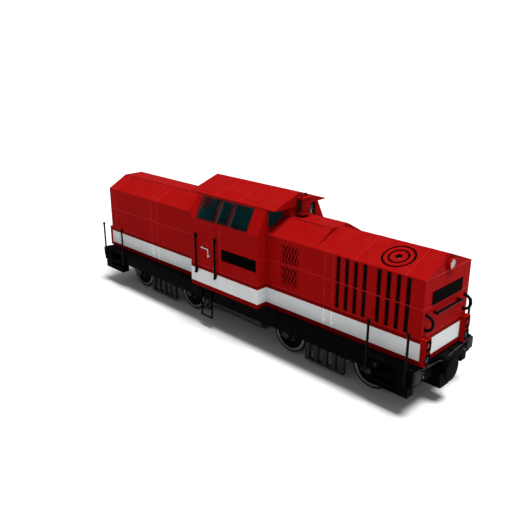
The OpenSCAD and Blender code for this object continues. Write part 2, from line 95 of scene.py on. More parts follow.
def strap_profile(width: float, height: float, sink: float = 0.001) -> Array:
    """Section of a flat strip with eased upper edges, its underside a little below zero."""
    w, e = width / 2, min(height * 0.5, width / 4)
    return np.array([(-w, -sink), (w, -sink), (w, height - e), (w - e, height), (-w + e, height),
                     (-w, height - e)])


def arc(centre: Sequence[float], radius: float, start: float, end: float, steps: int) -> Array:
    """Points (a, b) of an arc in a plane, with its angles in degrees."""
    angle = np.radians(np.linspace(start, end, steps))
    return np.stack([centre[0] + radius * np.cos(angle), centre[1] + radius * np.sin(angle)], -1)


@dataclass
class Seat:
    """A tilted work plane: a point, its across and up directions and the outward normal between them."""

    origin: Array
    across: Array
    up: Array

    @property
    def normal(self) -> Array:
        """Direction square to across and up."""
        return np.cross(self.across, self.up)

    def at(self, a: Array | float, b: Array | float, out: Array | float = 0.0) -> Array:
        """Point a along across, b along up and out along the normal."""
        a, b, out = (np.asarray(v, float)[..., None] for v in (a, b, out))
        return self.origin + a * self.across + b * self.up + out * self.normal


class Shape:
    """A mesh in the making: points and faces gathered as whole arrays."""

    def __init__(self) -> None:
        """Starts an empty shape."""
        self.points: list[Array] = []
        self.faces: list[tuple[Array, Array]] = []
        self.count = 0

    def add(self, points: Array, faces: Sequence[Array], slots: Sequence[Array | int]) -> None:
        """Takes in points and blocks of faces, each block with its material slots.

        Args:
            points: any array whose last axis is x, y, z.
            faces: blocks of point numbers, one row a face.
            slots: one number, or one a face, for each block.
        """
        points = np.asarray(points, float).reshape(-1, 3)
        for block, slot in zip(faces, slots):
            slot = np.broadcast_to(np.asarray(slot), (len(block),))
            self.faces.append((np.asarray(block) + self.count, slot))
        self.points.append(points)
        self.count += len(points)

    def grid(self, points: Array, wrap_u: bool = False, wrap_v: bool = False, cap: bool = False,
             slot: Array | int = 0) -> None:
        """Joins a grid of points, rows by columns, into four-sided faces.

        Args:
            points: the grid, (rows, columns, 3).
            wrap_u: whether the last row joins the first.
            wrap_v: whether the last column joins the first.
            cap: whether the first and last rows are closed by a face each.
            slot: the material slot, or one for each row of faces.
        """
        rows, columns = points.shape[:2]
        index = np.arange(rows * columns).reshape(rows, columns)
        loop = np.vstack([index, index[:1]]) if wrap_u else index
        loop = np.hstack([loop, loop[:, :1]]) if wrap_v else loop
        quads = np.stack([loop[:-1, :-1], loop[1:, :-1], loop[1:, 1:], loop[:-1, 1:]], -1)
        slots = np.repeat(np.broadcast_to(np.asarray(slot), (len(quads),)), quads.shape[1])
        blocks, marks = [quads.reshape(-1, 4)], [slots]
        if cap:
            blocks += [index[:1, ::-1], index[-1:]]
            marks += [slots[:1], slots[-1:]]
        self.add(points, blocks, marks)

    def sweep(self, path: Array, profile: Array, up: Sequence[float] = (0, 0, 1), closed: bool = False,
              slot: int = 0) -> None:
        """Carries a profile along a path, mitred at its corners.

        At each point the section stands square to the mean direction of the two stretches that meet
        there, and is stretched across the bend by one over the cosine of half the turn.

        Args:
            path: the points (n, 3).
            profile: (side, lift) pairs; lift lies along up.
            up: a direction that the path never follows.
            closed: whether the path returns to its start.
            slot: the material slot.
        """
        path = np.asarray(path, float)
        if closed:
            back, ahead = path - np.roll(path, 1, 0), np.roll(path, -1, 0) - path
        else:
            step = np.diff(path, axis=0)
            back, ahead = np.vstack([step[:1], step]), np.vstack([step, step[-1:]])
        back, ahead = unit(back), unit(ahead)
        along, bend = unit(back + ahead), unit(ahead - back)
        side = unit(np.cross(along, np.asarray(up, float)))
        lift = np.cross(side, along)
        ring = side[:, None] * profile[None, :, :1] + lift[:, None] * profile[None, :, 1:]
        stretch = 1 / np.clip(np.sum(along * ahead, -1), 0.4, 1) - 1
        ring += (stretch[:, None] * np.sum(ring * bend[:, None], -1))[..., None] * bend[:, None]
        self.grid(path[:, None] + ring, closed, True, not closed, slot)

    def rod(self, path: Sequence[Sequence[float]], radius: float, up: Sequence[float] = (0, 0, 1),
            sides: int = 10, slot: int = 0) -> None:
        """A round bar along a path."""
        self.sweep(np.asarray(path, float), circle(radius, sides), up, False, slot)

    def lathe(self, profile: Sequence[tuple[float, float]], start: Sequence[float],
              axis: Sequence[float], sides: int = 32, slot: Array | int = 0, ring: bool = False) -> None:
        """Turns a profile about an axis.

        Args:
            profile: (radius, distance along the axis) pairs.
            start: the point where the distance is zero.
            axis: its direction.
            sides: how many steps make the turn.
            slot: the material slot, or one for each stretch of the profile.
            ring: whether the profile closes on itself, as a tyre's does.
        """
        profile = np.asarray(profile, float)
        a = unit(np.asarray(axis, float))
        b = unit(np.cross(a, (0.3, 0.5, 0.8)))
        c = np.cross(a, b)
        spin = circle(1.0, sides)
        wheel = spin[:, :1] * b + spin[:, 1:] * c
        points = np.asarray(start, float) + profile[:, None, 1:] * a + profile[:, None, :1] * wheel
        self.grid(points, ring, True, not ring, slot)

    def block(self, low: Sequence[float], high: Sequence[float], ease: float, steps: int = 2,
              slot: int = 0, seat: Seat | None = None) -> None:
        """A box with rounded edges.

        Each point is a corner of the box drawn in by the radius, plus the radius times a direction on
        a sphere; the directions of each eighth of the sphere belong to one corner.

        Args:
            low: lowest corner; on a seat, (across, up, out).
            high: highest corner.
            ease: radius of the edges.
            steps: how many faces round an edge.
            slot: the material slot.
            seat: a tilted plane that the corners are given on.
        """
        low, high = np.minimum(low, high).astype(float), np.maximum(low, high).astype(float)
        half, middle = (high - low) / 2, (high + low) / 2
        ease = min(ease, 0.98 * half.min())
        quarter = np.linspace(0, np.pi / 2, steps + 1)
        turn = (quarter + np.pi / 2 * np.arange(4)[:, None]).ravel()
        rise = np.concatenate([quarter - np.pi / 2, quarter])
        u, v = np.meshgrid(rise, turn, indexing="ij")
        ball = np.stack([np.cos(u) * np.cos(v), np.cos(u) * np.sin(v), np.sin(u)], -1)
        corner = np.repeat([(1, 1), (-1, 1), (-1, -1), (1, -1)], steps + 1, axis=0)
        signs = np.empty(ball.shape)
        signs[..., :2] = corner
        signs[..., 2] = np.repeat([-1, 1], steps + 1)[:, None]
        points = middle + signs * (half - ease) + ease * ball
        if seat is not None:
            points = seat.at(points[..., 0], points[..., 1], points[..., 2])
        rows, columns = points.shape[:2]
        index = np.arange(rows * columns).reshape(rows, columns)
        lid = index[:, :: steps + 1]
        loop = np.hstack([index, index[:, :1]])
        quads = np.stack([loop[:-1, :-1], loop[1:, :-1], loop[1:, 1:], loop[:-1, 1:]], -1)
        self.add(points, [quads.reshape(-1, 4), lid[:1, ::-1], lid[-1:]], [slot] * 3)

    def prism(self, outline: Array, seat: Seat, low: float, high: float, slot: int = 0) -> None:
        """An outline of (across, up) points made solid between two distances along a seat's normal."""
        rows = [seat.at(outline[:, 0], outline[:, 1], out) for out in (low, high)]
        self.grid(np.stack(rows), False, True, True, slot)

    def relief(self, front: Array, depth: Sequence[float], slot: int = 0) -> None:
        """A sheet with a thickness: a grid of points, the same grid moved by depth, and the rim between."""
        rows, columns = front.shape[:2]
        index = np.arange(rows * columns).reshape(rows, columns)
        quads = np.stack([index[:-1, :-1], index[1:, :-1], index[1:, 1:], index[:-1, 1:]], -1).reshape(-1, 4)
        rim = np.concatenate([index[:, 0], index[-1, 1:], index[-2::-1, -1], index[0, -2:0:-1]])
        more = rows * columns
        wall = np.stack([rim, np.roll(rim, -1), np.roll(rim, -1) + more, rim + more], -1)
        points = np.concatenate([front.reshape(-1, 3), front.reshape(-1, 3) + np.asarray(depth)])
        self.add(points, [quads, quads[:, ::-1] + more, wall], [slot] * 3)

    def stamp(self, one: "Shape", places: Array) -> None:
        """Repeats a small shape at every place of a list of points."""
        places = np.asarray(places, float).reshape(-1, 3)
        base = np.concatenate(one.points)
        shift = (np.arange(len(places)) * len(base))[:, None, None]
        blocks = [(face[None] + shift).reshape(-1, face.shape[1]) for face, _ in one.faces]
        slots = [np.tile(slot, len(places)) for _, slot in one.faces]
        self.add(base[None] + places[:, None], blocks, slots)

    def bolts(self, places: Array, axis: Sequence[float], radius: float = 0.014, slot: int = 0) -> None:
        """Six-sided bolt heads with a turned-down top, at every place."""
        one = Shape()
        h = radius * 0.8
        one.lathe([(radius, -0.002), (radius, h * 0.75), (radius * 0.8, h), (0, h)], (0, 0, 0), axis, 6, slot)
        self.stamp(one, places)

    def copied(self, matrix: Array) -> None:
        """Adds a copy of everything so far, each point multiplied by a 3 by 3 matrix."""
        base = np.concatenate(self.points) @ np.asarray(matrix, float).T
        flip = np.linalg.det(np.asarray(matrix, float)) < 0
        blocks = [face[:, ::-1] if flip else face for face, _ in self.faces]
        self.add(base, blocks, [slot for _, slot in list(self.faces)])

    def both_sides(self) -> "Shape":
        """Adds the mirror image across the middle plane."""
        self.copied(np.diag([1, -1, 1]))
        return self

    def both_ends(self) -> "Shape":
        """Adds a copy turned half a turn about the upright axis."""
        self.copied(np.diag([-1, -1, 1]))
        return self

    def mesh(self, name: str) -> bpy.types.Mesh:
        """Makes the Blender mesh: doubles merged, faces outwards, sharp edges kept at 35 degrees."""
        points = np.concatenate(self.points)
        flat = np.concatenate([face.ravel() for face, _ in self.faces]).astype(np.int32)
        sizes = np.concatenate([np.full(len(face), face.shape[1]) for face, _ in self.faces])
        slots = np.concatenate([slot for _, slot in self.faces]).astype(np.int32)
        mesh = bpy.data.meshes.new(name)
        mesh.vertices.add(len(points))
        mesh.vertices.foreach_set("co", points.astype(np.float32).ravel())
        mesh.loops.add(len(flat))
        mesh.loops.foreach_set("vertex_index", flat)
        mesh.polygons.add(len(sizes))
        mesh.polygons.foreach_set("loop_start", (np.cumsum(sizes) - sizes).astype(np.int32))
        mesh.polygons.foreach_set("material_index", slots)
        mesh.update(calc_edges=True)
        work = bmesh.new()
        work.from_mesh(mesh)
        bmesh.ops.remove_doubles(work, verts=work.verts, dist=1e-5)
        bmesh.ops.dissolve_degenerate(work, edges=work.edges, dist=1e-6)
        bmesh.ops.recalc_face_normals(work, faces=work.faces)
        work.to_mesh(mesh)
        work.free()
        mesh.polygons.foreach_set("use_smooth", np.ones(len(mesh.polygons), bool))
        mesh.set_sharp_from_angle(angle=math.radians(35))
        return mesh


# ------------------------------------------------------------------ finishes


class Wire:
    """Short hand for wiring one node tree."""

    def __init__(self, tree: bpy.types.NodeTree) -> None:
        """Takes the tree to wire."""
        self.tree = tree

    def node(self, kind: str, inputs: dict | None = None, **settings) -> bpy.types.Node:
        """Adds a node; an input is a value, or a socket to link from."""
        node = self.tree.nodes.new("ShaderNode" + kind)
        for key, value in settings.items():
            setattr(node, key, value)
        for key, value in (inputs or {}).items():
            if isinstance(value, bpy.types.NodeSocket):
                self.tree.links.new(value, node.inputs[key])
            else:
                node.inputs[key].default_value = value
        return node

    def maths(self, operation: str, a, b=0.0, clamp: bool = False) -> bpy.types.NodeSocket:
        """One step of arithmetic."""
        return self.node("Math", {0: a, 1: b}, operation=operation, use_clamp=clamp).outputs[0]

    def line(self, value, slope: float, start: float) -> bpy.types.NodeSocket:
        """Slope times the value, plus start."""
        return self.maths("ADD", self.maths("MULTIPLY", value, slope), start)

    def fade(self, value, low: float, high: float) -> bpy.types.NodeSocket:
        """Runs smoothly from 0 at low to 1 at high."""
        inputs = {"Value": value, "From Min": low, "From Max": high}
        return self.node("MapRange", inputs, interpolation_type="SMOOTHSTEP").outputs[0]

    def blend(self, factor, a, b, mode: str = "MIX") -> bpy.types.NodeSocket:
        """Mixes two colours."""
        node = self.node("Mix", {0: factor, 6: a, 7: b}, data_type="RGBA", blend_type=mode)
        return node.outputs[2]

    def noise(self, vector, scale: float, detail: float = 2.0, rough: float = 0.5) -> bpy.types.NodeSocket:
        """Cloudy values round one half."""
        inputs = {"Vector": vector, "Scale": scale, "Detail": detail, "Roughness": rough}
        return self.node("TexNoise", inputs).outputs[0]

    def stretched(self, vector, scale: Sequence[float]) -> bpy.types.NodeSocket:
        """A pattern's coordinates, stretched along the axes."""
        return self.node("Mapping", {"Vector": vector, "Scale": scale}).outputs[0]

    def place(self) -> bpy.types.NodeSocket:
        """The point's own coordinates, in metres."""
        return self.node("TexCoord").outputs["Object"]

    def height(self) -> bpy.types.NodeSocket:
        """The point's height."""
        return self.node("SeparateXYZ", {0: self.place()}).outputs[2]


class Effects:
    """The shader node groups that several finishes share, each built once."""

    _made: dict[str, bpy.types.NodeTree] = {}

    @classmethod
    def _start(cls, name: str, inputs: Sequence[str], outputs: dict[str, str]) -> tuple:
        """Makes an empty group with float inputs and the named outputs."""
        tree = bpy.data.node_groups.new(name, "ShaderNodeTree")
        for label in inputs:
            tree.interface.new_socket(label, in_out="INPUT", socket_type="NodeSocketFloat")
        for label, kind in outputs.items():
            tree.interface.new_socket(label, in_out="OUTPUT", socket_type="NodeSocket" + kind)
        return tree, Wire(tree), tree.nodes.new("NodeGroupInput"), tree.nodes.new("NodeGroupOutput")

    @classmethod
    def edge_wear(cls) -> bpy.types.NodeTree:
        """Worn edges: how far a rounded normal turns from the true one, broken up by noise."""
        if "edge_wear" not in cls._made:
            tree, wire, given, out = cls._start("edge_wear", ["Radius", "Amount"],
                                                {"Mask": "Float", "Normal": "Vector"})
            bevel = wire.node("Bevel", {"Radius": given.outputs[0]}, samples=4)
            flat = wire.node("NewGeometry").outputs["Normal"]
            dot = wire.node("VectorMath", {0: bevel.outputs[0], 1: flat}, operation="DOT_PRODUCT")
            turned = wire.maths("SUBTRACT", 1.0, dot.outputs["Value"])
            patch = wire.fade(wire.noise(wire.place(), 9.0, 4.0, 0.65), 0.5, 0.72)
            mask = wire.maths("MULTIPLY", wire.fade(turned, 0.01, 0.18), patch)
            tree.links.new(wire.maths("MULTIPLY", mask, given.outputs[1], True), out.inputs[0])
            tree.links.new(bevel.outputs[0], out.inputs[1])
            cls._made["edge_wear"] = tree
        return cls._made["edge_wear"]

    @classmethod
    def grain(cls) -> bpy.types.NodeTree:
        """Surface grain: a fine height, a broad tint and a roughness cloud from noise at three scales."""
        if "grain" not in cls._made:
            tree, wire, given, out = cls._start("grain", ["Fine"],
                                                {"Height": "Float", "Tint": "Float", "Cloud": "Float"})
            place = wire.place()
            fine = wire.node("TexNoise", {"Vector": place, "Scale": given.outputs[0], "Detail": 2.0})
            wide = wire.noise(place, 2.3, 3.0)
            height = wire.maths("ADD", fine.outputs[0], wire.maths("MULTIPLY", wide, 0.4))
            tree.links.new(height, out.inputs[0])
            tree.links.new(wire.fade(wire.noise(place, 1.1, 4.0, 0.6), 0.3, 0.7), out.inputs[1])
            tree.links.new(wire.noise(place, 14.0, 3.0), out.inputs[2])
            cls._made["grain"] = tree
        return cls._made["grain"]

    @classmethod
    def dirt(cls) -> bpy.types.NodeTree:
        """Dust on what faces up, and grime that rises from the rails in upright streaks."""
        if "dirt" not in cls._made:
            tree, wire, given, out = cls._start("dirt", ["Dust", "Grime", "Reach"],
                                                {"Dust": "Float", "Grime": "Float"})
            place = wire.place()
            face = wire.node("NewGeometry").outputs["Normal"]
            up = wire.node("SeparateXYZ", {0: face}).outputs[2]
            cloud = wire.fade(wire.noise(place, 3.1, 5.0, 0.65), 0.35, 0.75)
            dust = wire.maths("MULTIPLY", wire.fade(up, 0.55, 1.0), cloud)
            tree.links.new(wire.maths("MULTIPLY", dust, given.outputs[0], True), out.inputs[0])
            streak = wire.noise(wire.stretched(place, (9.0, 9.0, 0.5)), 1.4, 4.0, 0.6)
            depth = wire.maths("DIVIDE", wire.height(), given.outputs[2])
            low = wire.maths("SUBTRACT", 1.0, depth, True)
            grime = wire.maths("MULTIPLY", low, wire.fade(streak, 0.3, 0.75))
            tree.links.new(wire.maths("MULTIPLY", grime, given.outputs[1], True), out.inputs[1])
            cls._made["dirt"] = tree
        return cls._made["dirt"]


@dataclass(frozen=True)
class Finish:
    """An opaque finish, worn at its edges, dusty on top and grimy below."""

    name: str
    colour: tuple[float, float, float]
    roughness: float = 0.5
    metallic: float = 0.0
    specular: float = 0.35
    grain: float = 160.0
    bump: float = 0.12
    bevel: float = 0.004
    wear: float = 0.35
    bare: tuple[float, float, float] = (0.16, 0.15, 0.14)
    dust: float = 0.25
    grime: float = 0.3
    reach: float = 1.6
    mottle: float = 0.12

    def base(self, wire: Wire) -> bpy.types.NodeSocket | tuple:
        """The colour before wear and dirt."""
        return (*self.colour, 1.0)

    def relief(self, wire: Wire, height: bpy.types.NodeSocket) -> bpy.types.NodeSocket:
        """The height that the bump reads."""
        return height

    def build(self) -> bpy.types.Material:
        """Wires the material.

        Returns:
            The material, ready for a slot.
        """
        material = bpy.data.materials.new(self.name)
        material.use_nodes = True
        material.diffuse_color = (*self.colour, 1.0)
        tree = material.node_tree
        wire = Wire(tree)
        shader = tree.nodes["Principled BSDF"]
        shader.inputs["Metallic"].default_value = self.metallic
        shader.inputs["Specular IOR Level"].default_value = self.specular
        grain = wire.node("Group", node_tree=Effects.grain())
        grain.inputs["Fine"].default_value = self.grain
        edge = wire.node("Group", node_tree=Effects.edge_wear())
        edge.inputs["Radius"].default_value = self.bevel
        edge.inputs["Amount"].default_value = self.wear
        dirt = wire.node("Group", node_tree=Effects.dirt())
        for label, value in (("Dust", self.dust), ("Grime", self.grime), ("Reach", self.reach)):
            dirt.inputs[label].default_value = value
        base = self.base(wire)
        shade = wire.blend(1.0, base, (1 - self.mottle,) * 3 + (1.0,), "MULTIPLY")
        colour = wire.blend(grain.outputs["Tint"], shade, base)
        colour = wire.blend(edge.outputs["Mask"], colour, (*self.bare, 1.0))
        colour = wire.blend(dirt.outputs["Grime"], colour, (0.035, 0.028, 0.022, 1.0))
        colour = wire.blend(dirt.outputs["Dust"], colour, (0.20, 0.17, 0.15, 1.0))
        tree.links.new(colour, shader.inputs["Base Color"])
        rough = wire.line(grain.outputs["Cloud"], 0.25, self.roughness - 0.125)
        soiled = wire.maths("MAXIMUM", dirt.outputs["Dust"], dirt.outputs["Grime"])
        rough = wire.maths("ADD", rough, wire.maths("MULTIPLY", soiled, 0.3), True)
        tree.links.new(rough, shader.inputs["Roughness"])
        bump = wire.node("Bump", {"Height": self.relief(wire, grain.outputs["Height"]),
                                  "Strength": self.bump, "Distance": 0.004, "Normal": edge.outputs["Normal"]})
        tree.links.new(bump.outputs[0], shader.inputs["Normal"])
        return material


@dataclass(frozen=True)
class BodyPaint(Finish):
    """Red enamel with a pale stripe, and painted shade: a darker red band low on the sides about the stripe,
    and a darker red disc about the head lamp.
    """

    stripe: tuple[float, float, float] = (0.62, 0.64, 0.64)
    # Painted shade colour, laid in a low band and in a disc round the head lamp.
    painted_shade: tuple[float, float, float] = (0.16, 0.0008, 0.0008)
    stripe_low: float = 1.479
    stripe_high: float = 1.933
    # Top of the painted shade band.
    shade_band_top: float = 2.06
    lamp_height: float = 3.706
    # Radius of the painted shade disc round the head lamp.
    lamp_shade_radius: float = 0.30
    end_face: float = 6.5

    def base(self, wire: Wire) -> bpy.types.NodeSocket:
        """Masks from the point's height, and from its distance to the lamp's axis near the end faces; both
        darker red masks are painted shade.
        """
        x, y, z = wire.node("SeparateXYZ", {0: wire.place()}).outputs
        # Painted shade: the red turns darker below this height.
        low = wire.maths("LESS_THAN", z, self.shade_band_top)
        above = wire.maths("GREATER_THAN", z, self.stripe_low)
        below = wire.maths("LESS_THAN", z, self.stripe_high)
        aside = wire.maths("POWER", y, 2.0)
        over = wire.maths("POWER", wire.maths("SUBTRACT", z, self.lamp_height), 2.0)
        away = wire.maths("SQRT", wire.maths("ADD", aside, over))
        # Painted shade: a soft darker disc about the head lamp's axis, on the end faces only.
        lamp_shade = wire.maths("SUBTRACT", 1.0, wire.fade(away, self.lamp_shade_radius - 0.06, self.lamp_shade_radius + 0.02))
        near = wire.maths("GREATER_THAN", wire.maths("ABSOLUTE", x), self.end_face)
        lamp_shade = wire.maths("MULTIPLY", wire.maths("MULTIPLY", lamp_shade, near), 0.8)
        # The painted shade colour takes the place of the red in both masks.
        red = wire.blend(wire.maths("MAXIMUM", low, lamp_shade), (*self.colour, 1.0), (*self.painted_shade, 1.0))
        return wire.blend(wire.maths("MULTIPLY", above, below), red, (*self.stripe, 1.0))


@dataclass(frozen=True)
class CabPaint(BodyPaint):
    """Body paint outside and a teal lining on every inner face of the cab, lightened as painted light for the
    light that the tinted glass keeps out.
    """

    # Lining colour: a teal lightened as painted light, for the light that the glass keeps out of the cab.
    lining: tuple[float, float, float] = (0.020, 0.300, 0.320)
    half: float = 1.45
    waist: float = 3.545
    inward: float = 0.5135
    length: float = 1.485
    skin: float = 0.035

    def base(self, wire: Wire) -> bpy.types.NodeSocket:
        """Lining where a point lies deeper than the skin behind all three outer walls.

        Depth behind a side wall is its half width less |y|, and less again by the lean above the waist.
        """
        x, y, z = wire.node("SeparateXYZ", {0: wire.place()}).outputs
        lean = wire.maths("MULTIPLY", wire.maths("MAXIMUM", wire.maths("SUBTRACT", z, self.waist), 0.0),
                          self.inward)
        wall = wire.maths("SUBTRACT", self.half, lean)
        behind_side = wire.maths("SUBTRACT", wall, wire.maths("ABSOLUTE", y))
        behind_end = wire.maths("SUBTRACT", self.length, wire.maths("ABSOLUTE", x))
        depth = wire.maths("MINIMUM", behind_side, behind_end)
        inside = wire.maths("GREATER_THAN", depth, self.skin)
        return wire.blend(inside, super().base(wire), (*self.lining, 1.0))


@dataclass(frozen=True)
class GrillePaint(Finish):
    """Enamel on the ring grilles, with painted shade on the bridges across the open rings, so that each ring
    reads as one dark gap.
    """

    middle: tuple[float, float] = (5.49, 0.545)
    slope: float = 21.02
    gaps: tuple[tuple[float, float], ...] = ((0.380, 0.440), (0.2206, 0.2806))
    # Colour of the painted shade across the open rings.
    dark: tuple[float, float, float] = (0.012, 0.0003, 0.0003)

    def base(self, wire: Wire) -> bpy.types.NodeSocket:
        """Painted shade wherever the distance to the fan's axis lies in one of the open rings."""
        x, y, _ = wire.node("SeparateXYZ", {0: wire.place()}).outputs
        along = wire.maths("POWER", wire.maths("SUBTRACT", x, self.middle[0]), 2.0)
        aside = wire.maths("SUBTRACT", wire.maths("ABSOLUTE", y), self.middle[1])
        aside = wire.maths("POWER", wire.maths("DIVIDE", aside, math.cos(math.radians(self.slope))), 2.0)
        away = wire.maths("SQRT", wire.maths("ADD", along, aside))
        mask = 0.0
        for low, high in self.gaps:
            inside = wire.maths("MULTIPLY", wire.maths("GREATER_THAN", away, low),
                                wire.maths("LESS_THAN", away, high))
            mask = wire.maths("MAXIMUM", mask, inside)
        return wire.blend(mask, (*self.colour, 1.0), (*self.dark, 1.0))


@dataclass(frozen=True)
class CorePlate(Finish):
    """Cooling core: upright fins as a fine ridged height."""

    pitch: float = 0.012

    def relief(self, wire: Wire, height: bpy.types.NodeSocket) -> bpy.types.NodeSocket:
        """A sine along the length, added to the grain."""
        x = wire.node("SeparateXYZ", {0: wire.place()}).outputs[0]
        wave = wire.maths("SINE", wire.maths("MULTIPLY", x, 2 * math.pi / self.pitch))
        return wire.maths("ADD", wire.maths("MULTIPLY", wave, 2.0), height)


@dataclass(frozen=True)
class TreadPlate(Finish):
    """Chequered plate: raised diamonds where two slanted waves meet."""

    pitch: float = 0.034

    def relief(self, wire: Wire, height: bpy.types.NodeSocket) -> bpy.types.NodeSocket:
        """The product of two slanted sines, cut off below and added to the grain."""
        x, y, _ = wire.node("SeparateXYZ", {0: wire.place()}).outputs
        turn = 2 * math.pi / self.pitch
        one = wire.maths("SINE", wire.maths("MULTIPLY", wire.maths("ADD", x, y), turn))
        two = wire.maths("SINE", wire.maths("MULTIPLY", wire.maths("SUBTRACT", x, y), turn))
        stud = wire.fade(wire.maths("MULTIPLY", one, two), 0.35, 0.6)
        return wire.maths("ADD", wire.maths("MULTIPLY", stud, 3.0), height)


@dataclass(frozen=True)
class WovenCover(Finish):
    """Woven seat cover: two crossed sets of threads."""

    thread: float = 0.004

    def base(self, wire: Wire) -> bpy.types.NodeSocket:
        """Threads a little lighter than the gaps between them."""
        weave = self._weave(wire)
        pale = tuple(min(1.0, 1.7 * c) for c in self.colour)
        return wire.blend(weave, (*self.colour, 1.0), (*pale, 1.0))

    def relief(self, wire: Wire, height: bpy.types.NodeSocket) -> bpy.types.NodeSocket:
        """The weave, added to the grain."""
        return wire.maths("ADD", wire.maths("MULTIPLY", self._weave(wire), 1.5), height)

    def _weave(self, wire: Wire) -> bpy.types.NodeSocket:
        """Half of one plus the product of two sines, across and along the seat."""
        x, y, z = wire.node("SeparateXYZ", {0: wire.place()}).outputs
        turn = 2 * math.pi / self.thread
        one = wire.maths("SINE", wire.maths("MULTIPLY", wire.maths("ADD", x, z), turn))
        two = wire.maths("SINE", wire.maths("MULTIPLY", y, turn))
        return wire.line(wire.maths("MULTIPLY", one, two), 0.5, 0.5)


@dataclass(frozen=True)
class Glazing:
    """Clear or tinted glass with a faint film of dust."""

    name: str
    tint: tuple[float, float, float]
    roughness: float = 0.03
    ribs: float = 0.0
    alpha: float = 1.0
    bend: float = 1.45

    def build(self) -> bpy.types.Material:
        """Wires the glass: plain transmission, a dusty roughness, and ribs where it has them.

        Returns:
            The material, ready for a slot.
        """
        material = bpy.data.materials.new(self.name)
        material.use_nodes = True
        material.diffuse_color = (*self.tint, 0.5)
        tree = material.node_tree
        wire = Wire(tree)
        shader = tree.nodes["Principled BSDF"]
        shader.inputs["Transmission Weight"].default_value = 1.0
        shader.inputs["IOR"].default_value = self.bend
        shader.inputs["Alpha"].default_value = self.alpha
        grain = wire.node("Group", node_tree=Effects.grain())
        grain.inputs["Fine"].default_value = 60.0
        dull = tuple(0.8 * c for c in self.tint)
        colour = wire.blend(grain.outputs["Tint"], (*dull, 1.0), (*self.tint, 1.0))
        tree.links.new(colour, shader.inputs["Base Color"])
        tree.links.new(wire.line(grain.outputs["Cloud"], 0.04, self.roughness), shader.inputs["Roughness"])
        height = wire.maths("MULTIPLY", grain.outputs["Height"], 0.05)
        if self.ribs:
            y = wire.node("SeparateXYZ", {0: wire.place()}).outputs[1]
            height = wire.maths("SINE", wire.maths("MULTIPLY", y, 2 * math.pi / self.ribs))
        bump = wire.node("Bump", {"Height": height, "Strength": 0.5 if self.ribs else 0.04,
                                  "Distance": 0.003})
        tree.links.new(bump.outputs[0], shader.inputs["Normal"])
        return material


